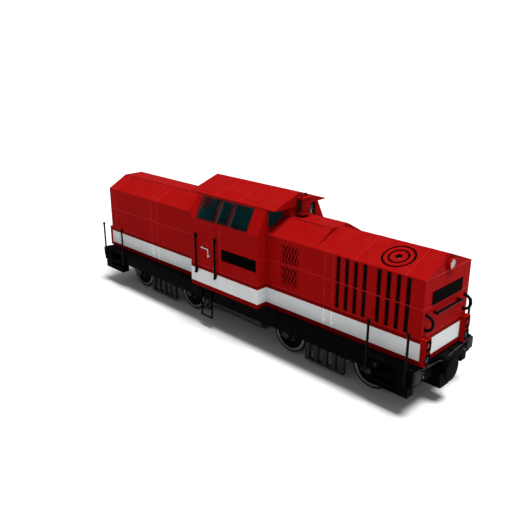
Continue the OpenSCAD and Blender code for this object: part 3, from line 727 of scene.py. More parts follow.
class Coat(Enum):
    """Every finish of the locomotive."""

    # The body enamels carry painted shade: a darker red low band about the stripe and a darker red disc round
    # the head lamp.
    RED = BodyPaint("body_enamel", (0.285, 0.0032, 0.0032), 0.45, specular=0.006, bevel=0.006, wear=0.10,
                    dust=0.02, grime=0.08, reach=1.9, bump=0.05, bare=(0.12, 0.03, 0.025), mottle=0.07)
    CAB_RED = CabPaint("cab_enamel", (0.285, 0.0032, 0.0032), 0.45, specular=0.006, bevel=0.006, wear=0.10,
                       dust=0.02, grime=0.08, reach=1.9, bump=0.05, bare=(0.12, 0.03, 0.025), mottle=0.07)
    PLAIN_RED = Finish("plain_enamel", (0.285, 0.0032, 0.0032), 0.45, specular=0.006, bevel=0.004, wear=0.12,
                       dust=0.02, grime=0.05, bump=0.05, bare=(0.12, 0.03, 0.025), mottle=0.07)
    # Painted highlight: a lighter copy of the body enamel with a whiter stripe, so that strips, bolts, hinges
    # and rims read as light lines along the seams; its darker low band is painted shade as on the body.
    SEAM_RED = BodyPaint("seam_enamel", (0.37, 0.008, 0.008), 0.45, specular=0.04, bevel=0.002, wear=0.2,
                         dust=0.02, grime=0.03, bump=0.05, bare=(0.3, 0.03, 0.03), mottle=0.1,
                         stripe=(0.86, 0.88, 0.88), painted_shade=(0.30, 0.002, 0.002))
    GRILLE = GrillePaint("grille_enamel", (0.285, 0.0032, 0.0032), 0.45, specular=0.006, bevel=0.003,
                         wear=0.15, dust=0.02, bump=0.05, bare=(0.12, 0.03, 0.025))
    DARK_RED = Finish("shutter_enamel", (0.012, 0.0003, 0.0003), 0.6, specular=0.05, dust=0.02, grime=0.0)
    BLACK = Finish("frame_enamel", (0.0008, 0.0008, 0.0009), 0.5, specular=0.008, dust=0.006, grime=0.02,
                   wear=0.2, bare=(0.03, 0.028, 0.026), bump=0.1)
    GREY = Finish("running_gear_paint", (0.022, 0.022, 0.023), 0.6, specular=0.05, dust=0.04, grime=0.15,
                  reach=1.2, bump=0.25, bare=(0.07, 0.065, 0.06))
    RAIL = Finish("rail_enamel", (0.0010, 0.0010, 0.0010), 0.35, specular=0.03, dust=0.01, grime=0.0,
                  wear=0.4, bevel=0.002, bare=(0.06, 0.06, 0.06))
    STEEL = Finish("worn_steel", (0.26, 0.26, 0.27), 0.34, 0.9, dust=0.05, grime=0.3, reach=1.0, bump=0.15)
    RIM = Finish("wheel_rim_paint", (0.13, 0.13, 0.133), 0.55, specular=0.1, dust=0.05, grime=0.25, reach=1.2)
    TYRE = Finish("wheel_web_paint", (0.0015, 0.0015, 0.0015), 0.55, specular=0.02, dust=0.02, grime=0.06,
                  reach=1.2)
    CAST = Finish("cast_iron", (0.020, 0.020, 0.021), 0.65, specular=0.2, grain=90.0, bump=0.5, dust=0.1)
    RUBBER = Finish("rubber", (0.012, 0.012, 0.013), 0.55, specular=0.08, wear=0.2, bare=(0.06, 0.06, 0.06),
                    bevel=0.008, dust=0.08, grime=0.1, bump=0.3)
    SEAL = Finish("window_rubber", (0.006, 0.006, 0.006), 0.7, specular=0.15, wear=0.0, dust=0.04, grime=0.0,
                  bevel=0.002)
    PLATE = Finish("plate_enamel", (0.0012, 0.0012, 0.0012), 0.35, specular=0.002, wear=0.15, dust=0.01,
                   grime=0.0, bare=(0.01, 0.01, 0.01), bevel=0.002)
    PALE = Finish("handle_metal", (0.50, 0.60, 0.60), 0.3, 0.4, dust=0.05, grime=0.0, bevel=0.002)
    DULL = Finish("dull_metal", (0.055, 0.058, 0.06), 0.45, 0.5, dust=0.05, grime=0.2, bevel=0.002)
    PIPE = Finish("pipe_enamel", (0.002, 0.018, 0.020), 0.45, specular=0.2, dust=0.02, grime=0.0, bevel=0.002)
    CORE = CorePlate("cooling_core", (0.010, 0.010, 0.011), 0.5, 0.4, bump=0.8, wear=0.0, dust=0.0, grime=0.0)
    TREAD = TreadPlate("tread_plate", (0.010, 0.010, 0.010), 0.5, 0.3, specular=0.2, bump=0.9, wear=0.5,
                       dust=0.12, bare=(0.10, 0.10, 0.10))
    # Floor and desk lining: a teal lightened as painted light, for the light that the glass keeps out of the
    # cab.
    LINING = Finish("cab_lining", (0.015, 0.130, 0.140), 0.7, specular=0.2, grain=300.0, bump=0.2, wear=0.05,
                    grime=0.0, dust=0.05)
    DIAL = Finish("dial_face", (0.75, 0.78, 0.76), 0.4, wear=0.0, dust=0.0, grime=0.0)
    COVER = WovenCover("woven_cover", (0.012, 0.015, 0.018), 0.9, specular=0.1, bump=0.5, wear=0.0, dust=0.05,
                       grime=0.0, bevel=0.002)
    PIPING = Finish("seat_piping", (0.008, 0.009, 0.010), 0.6, wear=0.0, grime=0.0, bevel=0.001)
    GLASS = Glazing("tinted_glazing", (0.22, 0.62, 0.64), alpha=0.42, bend=1.15)
    CLEAR = Glazing("clear_lens", (0.93, 0.97, 0.97), 0.25, 0.012, 0.6)
    TEAL = Glazing("marker_lens", (0.10, 0.75, 0.85), 0.06, 0.012, 0.35, 1.15)
    REDLENS = Glazing("tail_lens", (0.85, 0.03, 0.03), 0.06, 0.012, 0.35, 1.15)
    MIRROR = Finish("lamp_reflector", (0.80, 0.86, 0.86), 0.4, 0.2, wear=0.0, dust=0.0, grime=0.0, bump=0.02)
    RED_CUP = Finish("tail_lamp_cup", (0.50, 0.002, 0.006), 0.4, specular=0.1, wear=0.0, dust=0.0, grime=0.0)
    TEAL_CUP = Finish("marker_lamp_cup", (0.002, 0.090, 0.115), 0.4, specular=0.1, wear=0.0, dust=0.0,
                      grime=0.0)
    GROUND = Finish("pale_floor", (0.80, 0.80, 0.80), 0.8, specular=0.1, wear=0.0, dust=0.0, grime=0.0,
                    bump=0.05, mottle=0.02)

    def material(self) -> bpy.types.Material:
        """The Blender material, made the first time it is asked for."""
        return bpy.data.materials.get(self.value.name) or self.value.build()


def piece(name: str, shape: Shape, coats: Sequence[Coat], body: str,
          replaces: Sequence[str] = (), bevel: float = 0.0) -> bpy.types.Object:
    """Turns a shape into a finished piece that rides on a body.

    Args:
        name: the piece's name.
        shape: its mesh in the making.
        coats: its finishes, in the order of the shape's slots.
        body: the CAD body that carries it.
        replaces: CAD nodes that it stands for.
        bevel: width of a rounding put on its sharp edges, or 0.

    Returns:
        The object, at the origin, unturned and unscaled.
    """
    made = bpy.data.objects.new(name, shape.mesh(name))
    bpy.context.scene.collection.objects.link(made)
    for coat in coats:
        made.data.materials.append(coat.material())
    if bevel:
        rounding = made.modifiers.new("rounding", "BEVEL")
        rounding.width, rounding.segments, rounding.limit_method = bevel, 2, "ANGLE"
        rounding.angle_limit = math.radians(40)
    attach(made, body)
    if replaces:
        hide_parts(*replaces)
    LOG.info("%s: %d faces on %s", name, len(made.data.polygons), body)
    return made


def dress(node: bpy.types.Object, coat: Coat) -> None:
    """Gives a CAD node its finish."""
    node.data.materials.clear()
    node.data.materials.append(coat.material())


# ------------------------------------------------------------------ driving sizes


@dataclass
class Plan:
    """The driving sizes, read from the frame's boxes, with the folds that a box doesn't give."""

    fold: float = 3.545
    flat_half: float = 0.355
    low_seam: float = 2.06
    mid_seam: float = 2.81
    wall: float = 0.06

    def __post_init__(self) -> None:
        """Reads the boxes."""
        low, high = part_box("long_hood_front")
        self.step, self.end, self.hood_half, self.ridge = low.x, high.x, high.y, high.z
        self.deck = low.z
        self.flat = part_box("short_hood")[1].z
        self.frame_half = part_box("underframe")[1].y
        self.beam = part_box("underframe")[1].x
        _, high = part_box("cab_side_left")
        self.cab_end, self.eave, self.cab_top_half = high.x, high.z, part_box("cab_roof")[1].y
        self.roof_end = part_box("cab_roof")[1].x
        self.lean = math.atan2(self.frame_half - self.cab_top_half, self.eave - self.fold)

    def cab_lean(self, side: float) -> Seat:
        """The leaning cab wall above the waist; across runs along the vehicle."""
        up = np.array([0, -side * math.sin(self.lean), math.cos(self.lean)])
        return Seat(np.array([0, side * self.frame_half, self.fold]), np.array([-side, 0, 0]), up)


# ------------------------------------------------------------------ hoods


@dataclass
class Hoods:
    """Cover strips, fold joints, bolts, louvres, shutters and hinges of both hoods."""

    plan: Plan
    strip_width: float = 0.024
    strip_height: float = 0.004
    short_seams: tuple[float, ...] = (-6.25, -4.053, -3.715)
    long_seams: tuple[float, ...] = (3.63, 3.908)
    roof_seams: tuple[float, ...] = (4.55, 6.04)
    louvre_pitch: float = 0.104
    louvre_blade: float = 0.046
    louvre_swing: float = 0.044
    louvre_wave: float = 0.264
    blade_pitch: float = 0.055

    def seams(self) -> None:
        """Cover strips along every joint between the sheets: flat strips swept along straight runs."""
        p, shape = self.plan, Shape()
        section = strap_profile(self.strip_width, self.strip_height)
        for side in SIDES:
            y, out = side * p.hood_half, (0, side, 0)
            for x0, x1 in ((-p.end, -p.cab_end), (p.cab_end, p.end)):
                for z in (p.low_seam, p.mid_seam):
                    shape.sweep([(x0, y, z), (x1, y, z)], section, out)
            for x in self.short_seams + self.long_seams:
                shape.sweep([(x, y, p.deck + 0.02), (x, y, p.fold - 0.01)], section, out)
            for x in self.short_seams:
                self._over(shape, section, x, side, p.flat_half, p.flat)
            for x in self.roof_seams:
                self._over(shape, section, x, side, 0.0, p.ridge)
            cab = side * p.frame_half
            shape.sweep([(-p.cab_end, cab, p.low_seam), (p.cab_end, cab, p.low_seam)], section, out)
            shape.sweep([(-0.10, cab, p.low_seam), (-0.10, cab, p.fold)], section, out)
        for end in ENDS:
            x, half = end * p.end, p.hood_half
            for z in (p.low_seam, p.mid_seam, p.fold):
                shape.sweep([(x, -half, z), (x, half, z)], section, (end, 0, 0))
            for z in (p.low_seam, p.mid_seam):
                for side in SIDES:
                    a, b = sorted((side * half, side * p.frame_half))
                    cx = end * p.cab_end
                    shape.sweep([(cx, a, z), (cx, b, z)], section, (end, 0, 0))
        # The strips take the lighter seam enamel, a painted highlight along each joint.
        piece("hood_cover_strips", shape, [Coat.SEAM_RED], "locomotive")

    def _over(self, shape: Shape, section: Array, x: float, side: float, top_y: float, top_z: float) -> None:
        """A strip up one roof slope, from the fold to the flat or the ridge."""
        p = self.plan
        start, end = (x, side * p.hood_half, p.fold), (x, side * top_y, top_z)
        rise = np.array([0, side * (top_z - p.fold), p.hood_half - top_y])
        shape.sweep([start, end], section, rise)

    def folds(self) -> None:
        """A dark sealed joint along both edges of the flat hood tops."""
        p, shape = self.plan, Shape()
        for side in SIDES:
            y, up = side * p.flat_half, (0, side * 0.25, 1)
            for x0, x1 in ((-p.end + 0.02, -p.roof_end), (p.roof_end + 0.06, p.step - 0.02)):
                shape.sweep([(x0, y, p.flat), (x1, y, p.flat)], strap_profile(0.020, 0.003, 0.002), up)
        piece("fold_joints", shape, [Coat.DARK_RED], "locomotive")

    def louvres(self) -> None:
        """Two panels a side of upright zigzag blades over a black backing sheet, painted shade that stands
        for the dark openings between the blades.

        A blade's middle line runs up with a triangle wave in x; its section is a wedge, so that
        each blade stands open along one edge.
        """
        p = self.plan
        low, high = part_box("side_louvres")
        middle = (low.z + high.z) / 2
        shape = Shape()
        lift = high.y - p.hood_half
        w = self.louvre_blade / 2
        blade = np.array([(-w, 0.001), (w, 0.001), (w, 0.004), (-w + 0.006, lift), (-w, lift - 0.003)])
        for side in SIDES:
            for z0, z1 in ((low.z, middle - 0.052), (middle + 0.052, high.z)):
                # The black backing sheet is painted shade between the blades.
                shape.block((low.x, side * (p.hood_half - 0.001), z0),
                            (high.x, side * (p.hood_half + 0.002), z1), 0.001, 1, slot=1)
                z = np.linspace(z0, z1, 9)
                wave = self.louvre_swing * (2 * np.abs(2 * ((z - z0) / self.louvre_wave % 1) - 1) - 1)
                count = int((high.x - low.x - 2 * w) / self.louvre_pitch)
                for x in np.linspace(low.x + 0.03, high.x - 0.03, count + 1):
                    x_line = np.clip(x + wave, low.x + w, high.x - w)
                    path = np.stack([x_line, np.full(9, side * p.hood_half), z], -1)
                    shape.sweep(path, blade, (0, side, 0))
                for z_end in (z0, z1):
                    path = [(low.x, side * p.hood_half, z_end), (high.x, side * p.hood_half, z_end)]
                    shape.sweep(path, strap_profile(0.016, lift), (0, side, 0))
        piece("zigzag_louvres", shape, [Coat.PLAIN_RED, Coat.PLATE], "locomotive",
              ("side_louvres",))

    def shutters(self) -> None:
        """Tilted blades in the cooling slots, with a rolled rim round each slot."""
        p = self.plan
        shape, rims = Shape(), Shape()
        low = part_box("radiators")[0].x
        pitch, width, z0, z1 = 0.278, 0.122, 2.09, p.fold - 0.03
        first = low + pitch / 3
        centres = [first + pitch * i for i in range(4)] + [first + 1.255 + pitch * i for i in range(4)]
        one = Shape()
        tilt = math.radians(35)
        lean = Seat(np.zeros(3), np.array([1.0, 0, 0]), np.array([0, math.cos(tilt), math.sin(tilt)]))
        one.block((-width / 2 - 0.004, -0.016, -0.0015), (width / 2 + 0.004, 0.016, 0.0015), 0.001, 1,
                  seat=lean)
        rows = np.arange(z0 + 0.03, z1 - 0.01, self.blade_pitch)
        x, z = (a.ravel() for a in np.meshgrid(centres, rows))
        shape.stamp(one, np.stack([x, np.full(len(x), p.hood_half - 0.022), z], -1))
        shape.both_sides()
        piece("slot_shutters", shape, [Coat.DARK_RED], "locomotive")
        section = strap_profile(0.010, 0.004)
        for side in SIDES:
            for x in centres:
                a, b = x - width / 2 - 0.006, x + width / 2 + 0.006
                y = side * p.hood_half
                loop = [(a, y, z0 - 0.006), (b, y, z0 - 0.006), (b, y, z1 + 0.006), (a, y, z1 + 0.006)]
                rims.sweep(loop, section, (0, side, 0), True)
        piece("slot_rims", rims, [Coat.PLAIN_RED], "locomotive")

    def fasteners(self) -> None:
        """Small bolts along the cover strips and the upright seams."""
        p, shape = self.plan, Shape()
        for side in SIDES:
            y = side * (p.hood_half + self.strip_height)
            for x0, x1 in ((-p.end + 0.1, -p.cab_end - 0.1), (p.cab_end + 0.1, p.end - 0.1)):
                x = np.linspace(x0, x1, 17)
                for z in (p.low_seam, p.mid_seam):
                    shape.bolts(np.stack([x, np.full(17, y), np.full(17, z)], -1), (0, side, 0), 0.006)
            for x in self.short_seams + self.long_seams:
                z = np.linspace(p.deck + 0.08, p.fold - 0.08, 8)
                shape.bolts(np.stack([np.full(8, x), np.full(8, y), z], -1), (0, side, 0), 0.006)
        piece("hood_bolts", shape, [Coat.SEAM_RED], "locomotive")

    def hinges(self) -> None:
        """Barrel hinges and flush catches of the engine-room doors beside the upright seams."""
        p, shape = self.plan, Shape()
        for side in SIDES:
            y = side * (p.hood_half + 0.006)
            for x in (self.short_seams[1], self.short_seams[2], self.long_seams[0], self.long_seams[1]):
                for z in (1.56, 2.40, 3.15):
                    shape.rod([(x + 0.02, y, z), (x + 0.02, y, z + 0.09)], 0.008, (0, 1, 0), 8)
                    shape.block((x - 0.02, y - side * 0.006, z + 0.01), (x + 0.06, y, z + 0.08), 0.002, 1)
        piece("engine_door_hinges", shape, [Coat.SEAM_RED], "locomotive")

    def build(self) -> None:
        """Makes every piece of the hoods."""
        self.seams()
        self.folds()
        self.louvres()
        self.shutters()
        self.fasteners()
        self.hinges()


# ------------------------------------------------------------------ roof fans


@dataclass
class Fans:
    """Wire guards, and rotors with twisted blades, on the slopes of the fan section."""

    plan: Plan
    blades: int = 6
    hub: float = 0.09
    root_pitch: float = 42.0
    tip_pitch: float = 22.0
    wire: float = 0.004

    def __post_init__(self) -> None:
        """Finds the fans from the joints and the grille's size from its box."""
        joints = {j["child"]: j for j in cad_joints}
        self.joints = {side: joints[body] for side, body in ((1.0, "fan_left"), (-1.0, "fan_right"))}
        low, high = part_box("fan_grilles")
        self.radius = (high.x - low.x) / 2

    def seat(self, side: float) -> Seat:
        """The slope's plane at a fan, with the outward normal along the fan's axis."""
        joint = self.joints[side]
        axis = unit(np.array(joint["axis"], float))
        across = np.array([1.0, 0, 0])
        return Seat(np.array(joint["pos_m"], float), across, np.cross(axis, across))

    def guards(self) -> None:
        """Rings and spokes of wire: circles about the axis, and straight rods along its radii."""
        shape = Shape()
        for side in SIDES:
            seat = self.seat(side)
            for radius in np.linspace(self.radius * 0.2, self.radius * 0.97, 12):
                ring = circle(radius, 64)
                shape.sweep(seat.at(ring[:, 0], ring[:, 1], -0.020), circle(self.wire, 6), seat.normal, True)
            for angle in np.linspace(0, np.pi, 12, endpoint=False):
                c, s = math.cos(angle), math.sin(angle)
                reach = self.radius * 0.97
                for a, b in ((0.2 * self.radius, reach), (-reach, -0.2 * self.radius)):
                    ends = np.array([a, b])
                    shape.sweep(seat.at(ends * c, ends * s, -0.028), circle(self.wire, 6), seat.normal)
        piece("fan_wire_guards", shape, [Coat.BLACK], "locomotive")

    def rotors(self) -> None:
        """Each blade is a row of cambered sections, set at a pitch that falls from root to tip."""
        for side, name in ((1.0, "left"), (-1.0, "right")):
            seat, shape = self.seat(side), Shape()
            mid = -0.115
            cap = [(self.hub, 0), (self.hub, 0.055), (self.hub * 0.8, 0.072), (self.hub * 0.4, 0.08),
                   (0, 0.082)]
            shape.lathe([(0, 0)] + cap, seat.at(0, 0, mid - 0.035), seat.normal, 32)
            span = np.linspace(self.hub * 0.8, self.radius - 0.022, 9)[:, None]
            share = (span - span.min()) / (span.max() - span.min())
            chord = 0.17 - 0.05 * share
            pitch = np.radians(self.root_pitch + (self.tip_pitch - self.root_pitch) * share)
            loop = np.linspace(0, 2 * np.pi, 16, endpoint=False)[None]
            along = chord / 2 * np.cos(loop)
            thick = 0.006 * np.sin(loop) + 0.014 * (1 - np.cos(loop) ** 2) * (1 - share)
            a = along * np.cos(pitch) - thick * np.sin(pitch)
            lift = along * np.sin(pitch) * 0.75 + thick * np.cos(pitch)
            for turn in np.arange(self.blades) * 2 * np.pi / self.blades:
                u = span * np.cos(turn) - a * np.sin(turn)
                v = span * np.sin(turn) + a * np.cos(turn)
                shape.grid(seat.at(u, v, mid + lift), False, True, True)
            shape.bolts(seat.at(0.05 * np.cos(np.arange(6)), 0.05 * np.sin(np.arange(6)), mid + 0.038),
                        seat.normal, 0.008)
            piece(f"fan_blades_{name}", shape, [Coat.CAST], f"fan_{name}",
                  (f"fan_rotor_{name}",))

    def build(self) -> None:
        """Makes the guards and the rotors."""
        self.guards()
        self.rotors()


# ------------------------------------------------------------------ cab


@dataclass
class Cab:
    """Glazing, seals, door furniture, wipers and the inside of the cab."""

    plan: Plan
    window_low: float = 0.05
    window_high: float = 0.735
    window_back: float = -1.18
    window_front: float = 1.01
    pane: float = 0.006
    seal: float = 0.010

    def end_outline(self) -> Array:
        """Outline of an end window as (y, z) points on the left side."""
        p = self.plan
        outer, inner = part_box("cab_side_left")[0].y - 0.010, p.flat_half + 0.045
        low, kink, high = p.fold + 0.20, p.flat + 0.01, p.eave - 0.07
        return np.array([(outer, low), (inner + 0.37, low), (inner, kink), (inner, high), (outer, high)])

    def glazing(self) -> None:
        """A single flush sheet along each leaning side, and a recessed pane in each end window."""
        p, glass, seals = self.plan, Shape(), Shape()
        for side in SIDES:
            seat = p.cab_lean(side)
            a = sorted((-side * self.window_back, -side * self.window_front))
            low, high = self.window_low - 0.015, self.window_high + 0.015
            glass.block((a[0] - 0.015, low, 0.002), (a[1] + 0.015, high, 0.002 + self.pane), 0.002, 1,
                        seat=seat)
            corners = np.array([(a[0] - 0.02, low - 0.005), (a[1] + 0.02, low - 0.005),
                                (a[1] + 0.02, high + 0.005), (a[0] - 0.02, high + 0.005)])
            seals.sweep(seat.at(corners[:, 0], corners[:, 1], 0.003), strap_profile(self.seal, 0.008, 0.003),
                        seat.normal, True)
            for end in ENDS:
                outline = self.end_outline() * (side, 1)
                x = end * (p.cab_end - 0.030)
                wall = Seat(np.array([x, 0, 0.0]), np.array([0, 1.0, 0]), np.array([0, 0, 1.0]))
                inset = (outline - outline.mean(0)) * 0.985 + outline.mean(0)
                glass.prism(inset, wall, -self.pane / 2, self.pane / 2)
                for out in (-0.008, 0.008):
                    path = np.column_stack([np.full(5, x + out), outline])
                    seals.sweep(path, circle(0.007, 8), (1, 0, 0), True)
        piece("cab_panes", glass, [Coat.GLASS], "locomotive", ("cab_glass",))
        piece("window_seals", seals, [Coat.SEAL], "locomotive")

    def wipers(self) -> None:
        """A wiper on each end window: a pivot, a bent arm and a blade."""
        p, shape = self.plan, Shape()
        outline = self.end_outline()
        for side in SIDES:
            y0, z0 = outline[:, 0].mean() * side, outline[:, 1].max()
            x = p.cab_end + 0.006
            shape.lathe([(0, 0), (0.016, 0), (0.016, 0.012), (0.010, 0.018), (0, 0.018)],
                        (x - 0.006, y0, z0 + 0.03), (1, 0, 0), 16)
            shape.rod([(x + 0.008, y0, z0 + 0.03), (x + 0.012, y0 - 0.05 * side, z0 - 0.08),
                       (x - 0.012, y0 - 0.10 * side, z0 - 0.18)], 0.005, (1, 0, 0), 8)
            shape.rod([(x - 0.016, y0 - 0.02 * side, z0 - 0.05), (x - 0.016, y0 - 0.17 * side, z0 - 0.31)],
                      0.006, (1, 0, 0), 8)
        shape.both_ends()
        piece("window_wipers", shape, [Coat.RAIL], "locomotive")

    def doors(self) -> None:
        """A pale bent handle inside a red arc on each door, with a lock rosette and a kick strip."""
        p = self.plan
        for side, name in ((1.0, "left"), (-1.0, "right")):
            low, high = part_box(f"cab_door_{name}")
            face = side * p.frame_half
            hinge, latch = high.x - 0.05, low.x
            bar, guard, strips = Shape(), Shape(), Shape()
            corner_x, corner_z, arm, drop = latch + 0.50, 2.68, 0.33, 0.26
            out = face + side * 0.040
            bar.rod([(corner_x - arm, out, corner_z), (corner_x - 0.03, out, corner_z),
                     (corner_x, out, corner_z - 0.03), (corner_x, out, corner_z - drop)], 0.013, (0, 1, 0),
                    12)
            for x, z in ((corner_x - arm + 0.03, corner_z), (corner_x, corner_z - drop + 0.04)):
                bar.rod([(x, face - side * 0.002, z), (x, out, z)], 0.010, (0, 0, 1), 12)
                bar.lathe([(0, 0), (0.026, 0), (0.026, 0.004), (0.014, 0.010), (0, 0.010)], (x, face, z),
                          (0, side, 0), 20)
            curve = arc((corner_x - 0.29, corner_z - 0.20), 0.38, 80, 2, 18)
            path = np.column_stack([curve[:, 0], np.full(18, face), curve[:, 1]])
            guard.sweep(path, strap_profile(0.030, 0.018), (0, side, 0))
            piece(f"door_handle_{name}", bar, [Coat.PALE], f"door_{name}")
            section = strap_profile(0.018, 0.003)
            loop = [(latch + 0.02, face, low.z + 0.02), (hinge - 0.03, face, low.z + 0.02),
                    (hinge - 0.03, face, high.z - 0.02), (latch + 0.02, face, high.z - 0.02)]
            strips.sweep(loop, section, (0, side, 0), True)
            piece(f"door_arc_{name}", guard, [Coat.SEAM_RED], f"door_{name}")
            piece(f"door_edge_strip_{name}", strips, [Coat.SEAM_RED], f"door_{name}")

    def roof(self) -> None:
        """Roof cover strips, a drip rail along the eaves and the fittings of the box on the hood."""
        p, shape = self.plan, Shape()
        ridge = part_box("cab_roof")[1].z
        lip = p.eave + 0.03
        for side in SIDES:
            rise = np.array([0, side * (ridge - lip), p.cab_top_half])
            for x in (-0.62, 0.30):
                shape.sweep([(x, side * p.cab_top_half, lip), (x, side * 0.03, ridge - 0.03 * (ridge - lip))],
                            strap_profile(0.022, 0.003), rise)
            shape.sweep([(-p.roof_end, side * (p.cab_top_half - 0.003), lip),
                         (p.roof_end, side * (p.cab_top_half - 0.003), lip)], circle(0.008, 8))
        piece("roof_strips", shape, [Coat.SEAM_RED], "locomotive")
        box = Shape()
        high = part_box("roof_box")[1]
        back, front, half = p.roof_end + 0.035, p.roof_end + 0.225, 0.17
        base = p.flat + 0.115
        for side in SIDES:
            y = side * half
            box.block((back + 0.02, y - side * 0.001, base + 0.03),
                      (front - 0.03, y + side * 0.006, base + 0.41), 0.003, 1, slot=1)
            for z in np.arange(base + 0.06, base + 0.40, 0.035):
                tilt = Seat(np.array([0, y + side * 0.008, z]), np.array([1.0, 0, 0]),
                            unit(np.array([0, -side * 0.6, 0.8])))
                box.block((back + 0.03, -0.012, -0.001), (front - 0.04, 0.012, 0.001), 0.001, 1, slot=1,
                          seat=tilt)
        face = Seat(np.array([front, 0, 0.0]), np.array([0, 1.0, 0]), np.array([0, 0, 1.0]))
        box.block((-0.13, base + 0.04, -0.001), (0.13, base + 0.40, 0.006), 0.004, 2, slot=0, seat=face)
        for y in (-0.1, 0.06):
            top = (back + 0.085, y, high.z - 0.002)
            box.lathe([(0.026, -0.10), (0.033, -0.085), (0.033, 0.0), (0.020, 0.0), (0.020, -0.08),
                       (0, -0.08)],
                      top, (0, 0, 1), 20, slot=2)
            box.rod([(top[0], y, high.z - 0.11), (top[0], y, high.z - 0.012)], 0.0265, (1, 0, 0), 16, slot=2)
        for y in (-0.1, 0.1):
            box.rod([(back + 0.10, y, p.flat + 0.001), (back + 0.10, y, p.flat + 0.086)], 0.0265, (1, 0, 0),
                    16, slot=2)
        piece("air_box_fittings", box, [Coat.PLAIN_RED, Coat.SEAL, Coat.PIPE], "locomotive")

    def plates(self) -> None:
        """A raised rim and four bolts on each blank plate."""
        p, shape = self.plan, Shape()
        _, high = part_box("number_plates")
        top = p.mid_seam + 0.005
        for side in SIDES:
            y = side * (p.frame_half + 0.008)
            x0, x1, z0, z1 = -0.03, p.cab_end - 0.07, top - 0.34, top - 0.01
            shape.sweep([(x0, y, z0), (x1, y, z0), (x1, y, z1), (x0, y, z1)], strap_profile(0.012, 0.003),
                        (0, side, 0), True)
            x, z = np.meshgrid([x0 + 0.03, x1 - 0.03], [z0 + 0.03, z1 - 0.03])
            shape.bolts(np.stack([x.ravel(), np.full(4, y), z.ravel()], -1), (0, side, 0), 0.008)
        for end in ENDS:
            x = end * high.x
            y0, z0, z1 = 0.71, p.mid_seam + 0.02, p.mid_seam + 0.35
            shape.sweep([(x, -y0, z0), (x, y0, z0), (x, y0, z1), (x, -y0, z1)], strap_profile(0.012, 0.003),
                        (end, 0, 0), True)
            y, z = np.meshgrid([-y0 + 0.03, y0 - 0.03], [z0 + 0.03, z1 - 0.03])
            shape.bolts(np.stack([np.full(4, x), y.ravel(), z.ravel()], -1), (end, 0, 0), 0.008)
        piece("plate_rims", shape, [Coat.PLATE], "locomotive")

    def desks(self) -> None:
        """Instruments, levers and a grab ledge on both desks."""
        shape = Shape()
        _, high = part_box("control_desk")
        x0 = high.x - 0.24
        top = high.z
        for y in np.linspace(0.38, 0.92, 5):
            for ring, coat in ((0.048, 0), (0.040, 1)):
                shape.lathe([(0, 0), (ring, 0), (ring, 0.008 if coat == 0 else 0.011), (0, 0.011)],
                            (x0 + 0.001, y, top - 0.09), (-1, 0, 0), 24, slot=coat)
        for y, lean in ((0.42, 0.05), (0.60, -0.03), (0.86, 0.02)):
            foot = (x0 - 0.14, y, top - 0.22)
            tip = (x0 - 0.18 + lean, y, top - 0.02)
            shape.rod([foot, tip], 0.008, (0, 1, 0), 10, slot=2)
            shape.lathe([(0, -0.02), (0.018, -0.014), (0.022, 0.0), (0.018, 0.014), (0, 0.02)], tip,
                        (0, 0, 1), 16, slot=0)
        shape.block((x0 - 0.30, 0.22, top - 0.30), (x0 - 0.06, 1.08, top - 0.285), 0.006, 2, slot=0)
        shape.lathe([(0.165, -0.012), (0.18, 0.0), (0.165, 0.012), (0.15, 0.0)],
                    (x0 - 0.30, 0.66, top - 0.17), (-0.35, 0, 1), 36, slot=2, ring=True)
        shape.both_ends()
        piece("desk_instruments", shape, [Coat.SEAL, Coat.DIAL, Coat.PALE], "locomotive")

    def seats(self) -> None:
        """Two swivel seats: a turned pedestal and shell, a stuffed cushion and a stuffed back."""
        low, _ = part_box("driver_seats")
        floor = low.z
        frame = Shape()
        x, y = 0.56, 0.65
        frame.lathe([(0, 0), (0.22, 0), (0.22, 0.012), (0.09, 0.03), (0.055, 0.06), (0.05, 0.40),
                     (0.10, 0.43), (0, 0.43)], (x, y, floor), (0, 0, 1), 32)
        frame.block((x - 0.23, y - 0.23, floor + 0.43), (x + 0.23, y + 0.23, floor + 0.455), 0.012, 3)
        frame.block((x - 0.235, y - 0.21, floor + 0.50), (x - 0.21, y + 0.21, floor + 1.22), 0.012, 3)
        for side in SIDES:
            frame.rod([(x - 0.21, y + side * 0.23, floor + 0.46), (x - 0.19, y + side * 0.235, floor + 0.74),
                       (x - 0.14, y + side * 0.235, floor + 0.75),
                       (x + 0.12, y + side * 0.235, floor + 0.75)],
                      0.014, (0, 1, 0), 10)
        frame.both_ends()
        piece("seat_pedestals", frame, [Coat.BLACK], "locomotive", ("driver_seats",))
        for end, name in ((1.0, "front"), (-1.0, "rear")):
            turn = np.array([end, end, 1.0])
            for kind, a, b in (("cushion", (x - 0.20, y - 0.22, floor + 0.456),
                                (x + 0.22, y + 0.22, floor + 0.56)),
                               ("back", (x - 0.208, y - 0.20, floor + 0.57),
                                (x - 0.125, y + 0.20, floor + 1.22))):
                self._stuffed(f"seat_{kind}_{name}", np.array(a) * turn, np.array(b) * turn)

    def _stuffed(self, name: str, a: Array, b: Array) -> None:
        """A stuffed pad: a fine rounded block blown up as cloth, held near its shape, with a piped edge.

        Args:
            name: the piece's name.
            a: one corner of the space it fills.
            b: the opposite corner.
        """
        low, high = np.minimum(a, b), np.maximum(a, b)
        shrink = 0.010
        thin = int(np.argmin(high - low))
        shape = Shape()
        self._pillow(shape, low + shrink, high - shrink, thin)
        made = piece(name, shape, [Coat.COVER, Coat.PIPING], "locomotive")
        puff(made, 0.009)
        soft = made.modifiers.new("smooth", "SUBSURF")
        soft.levels = soft.render_levels = 1

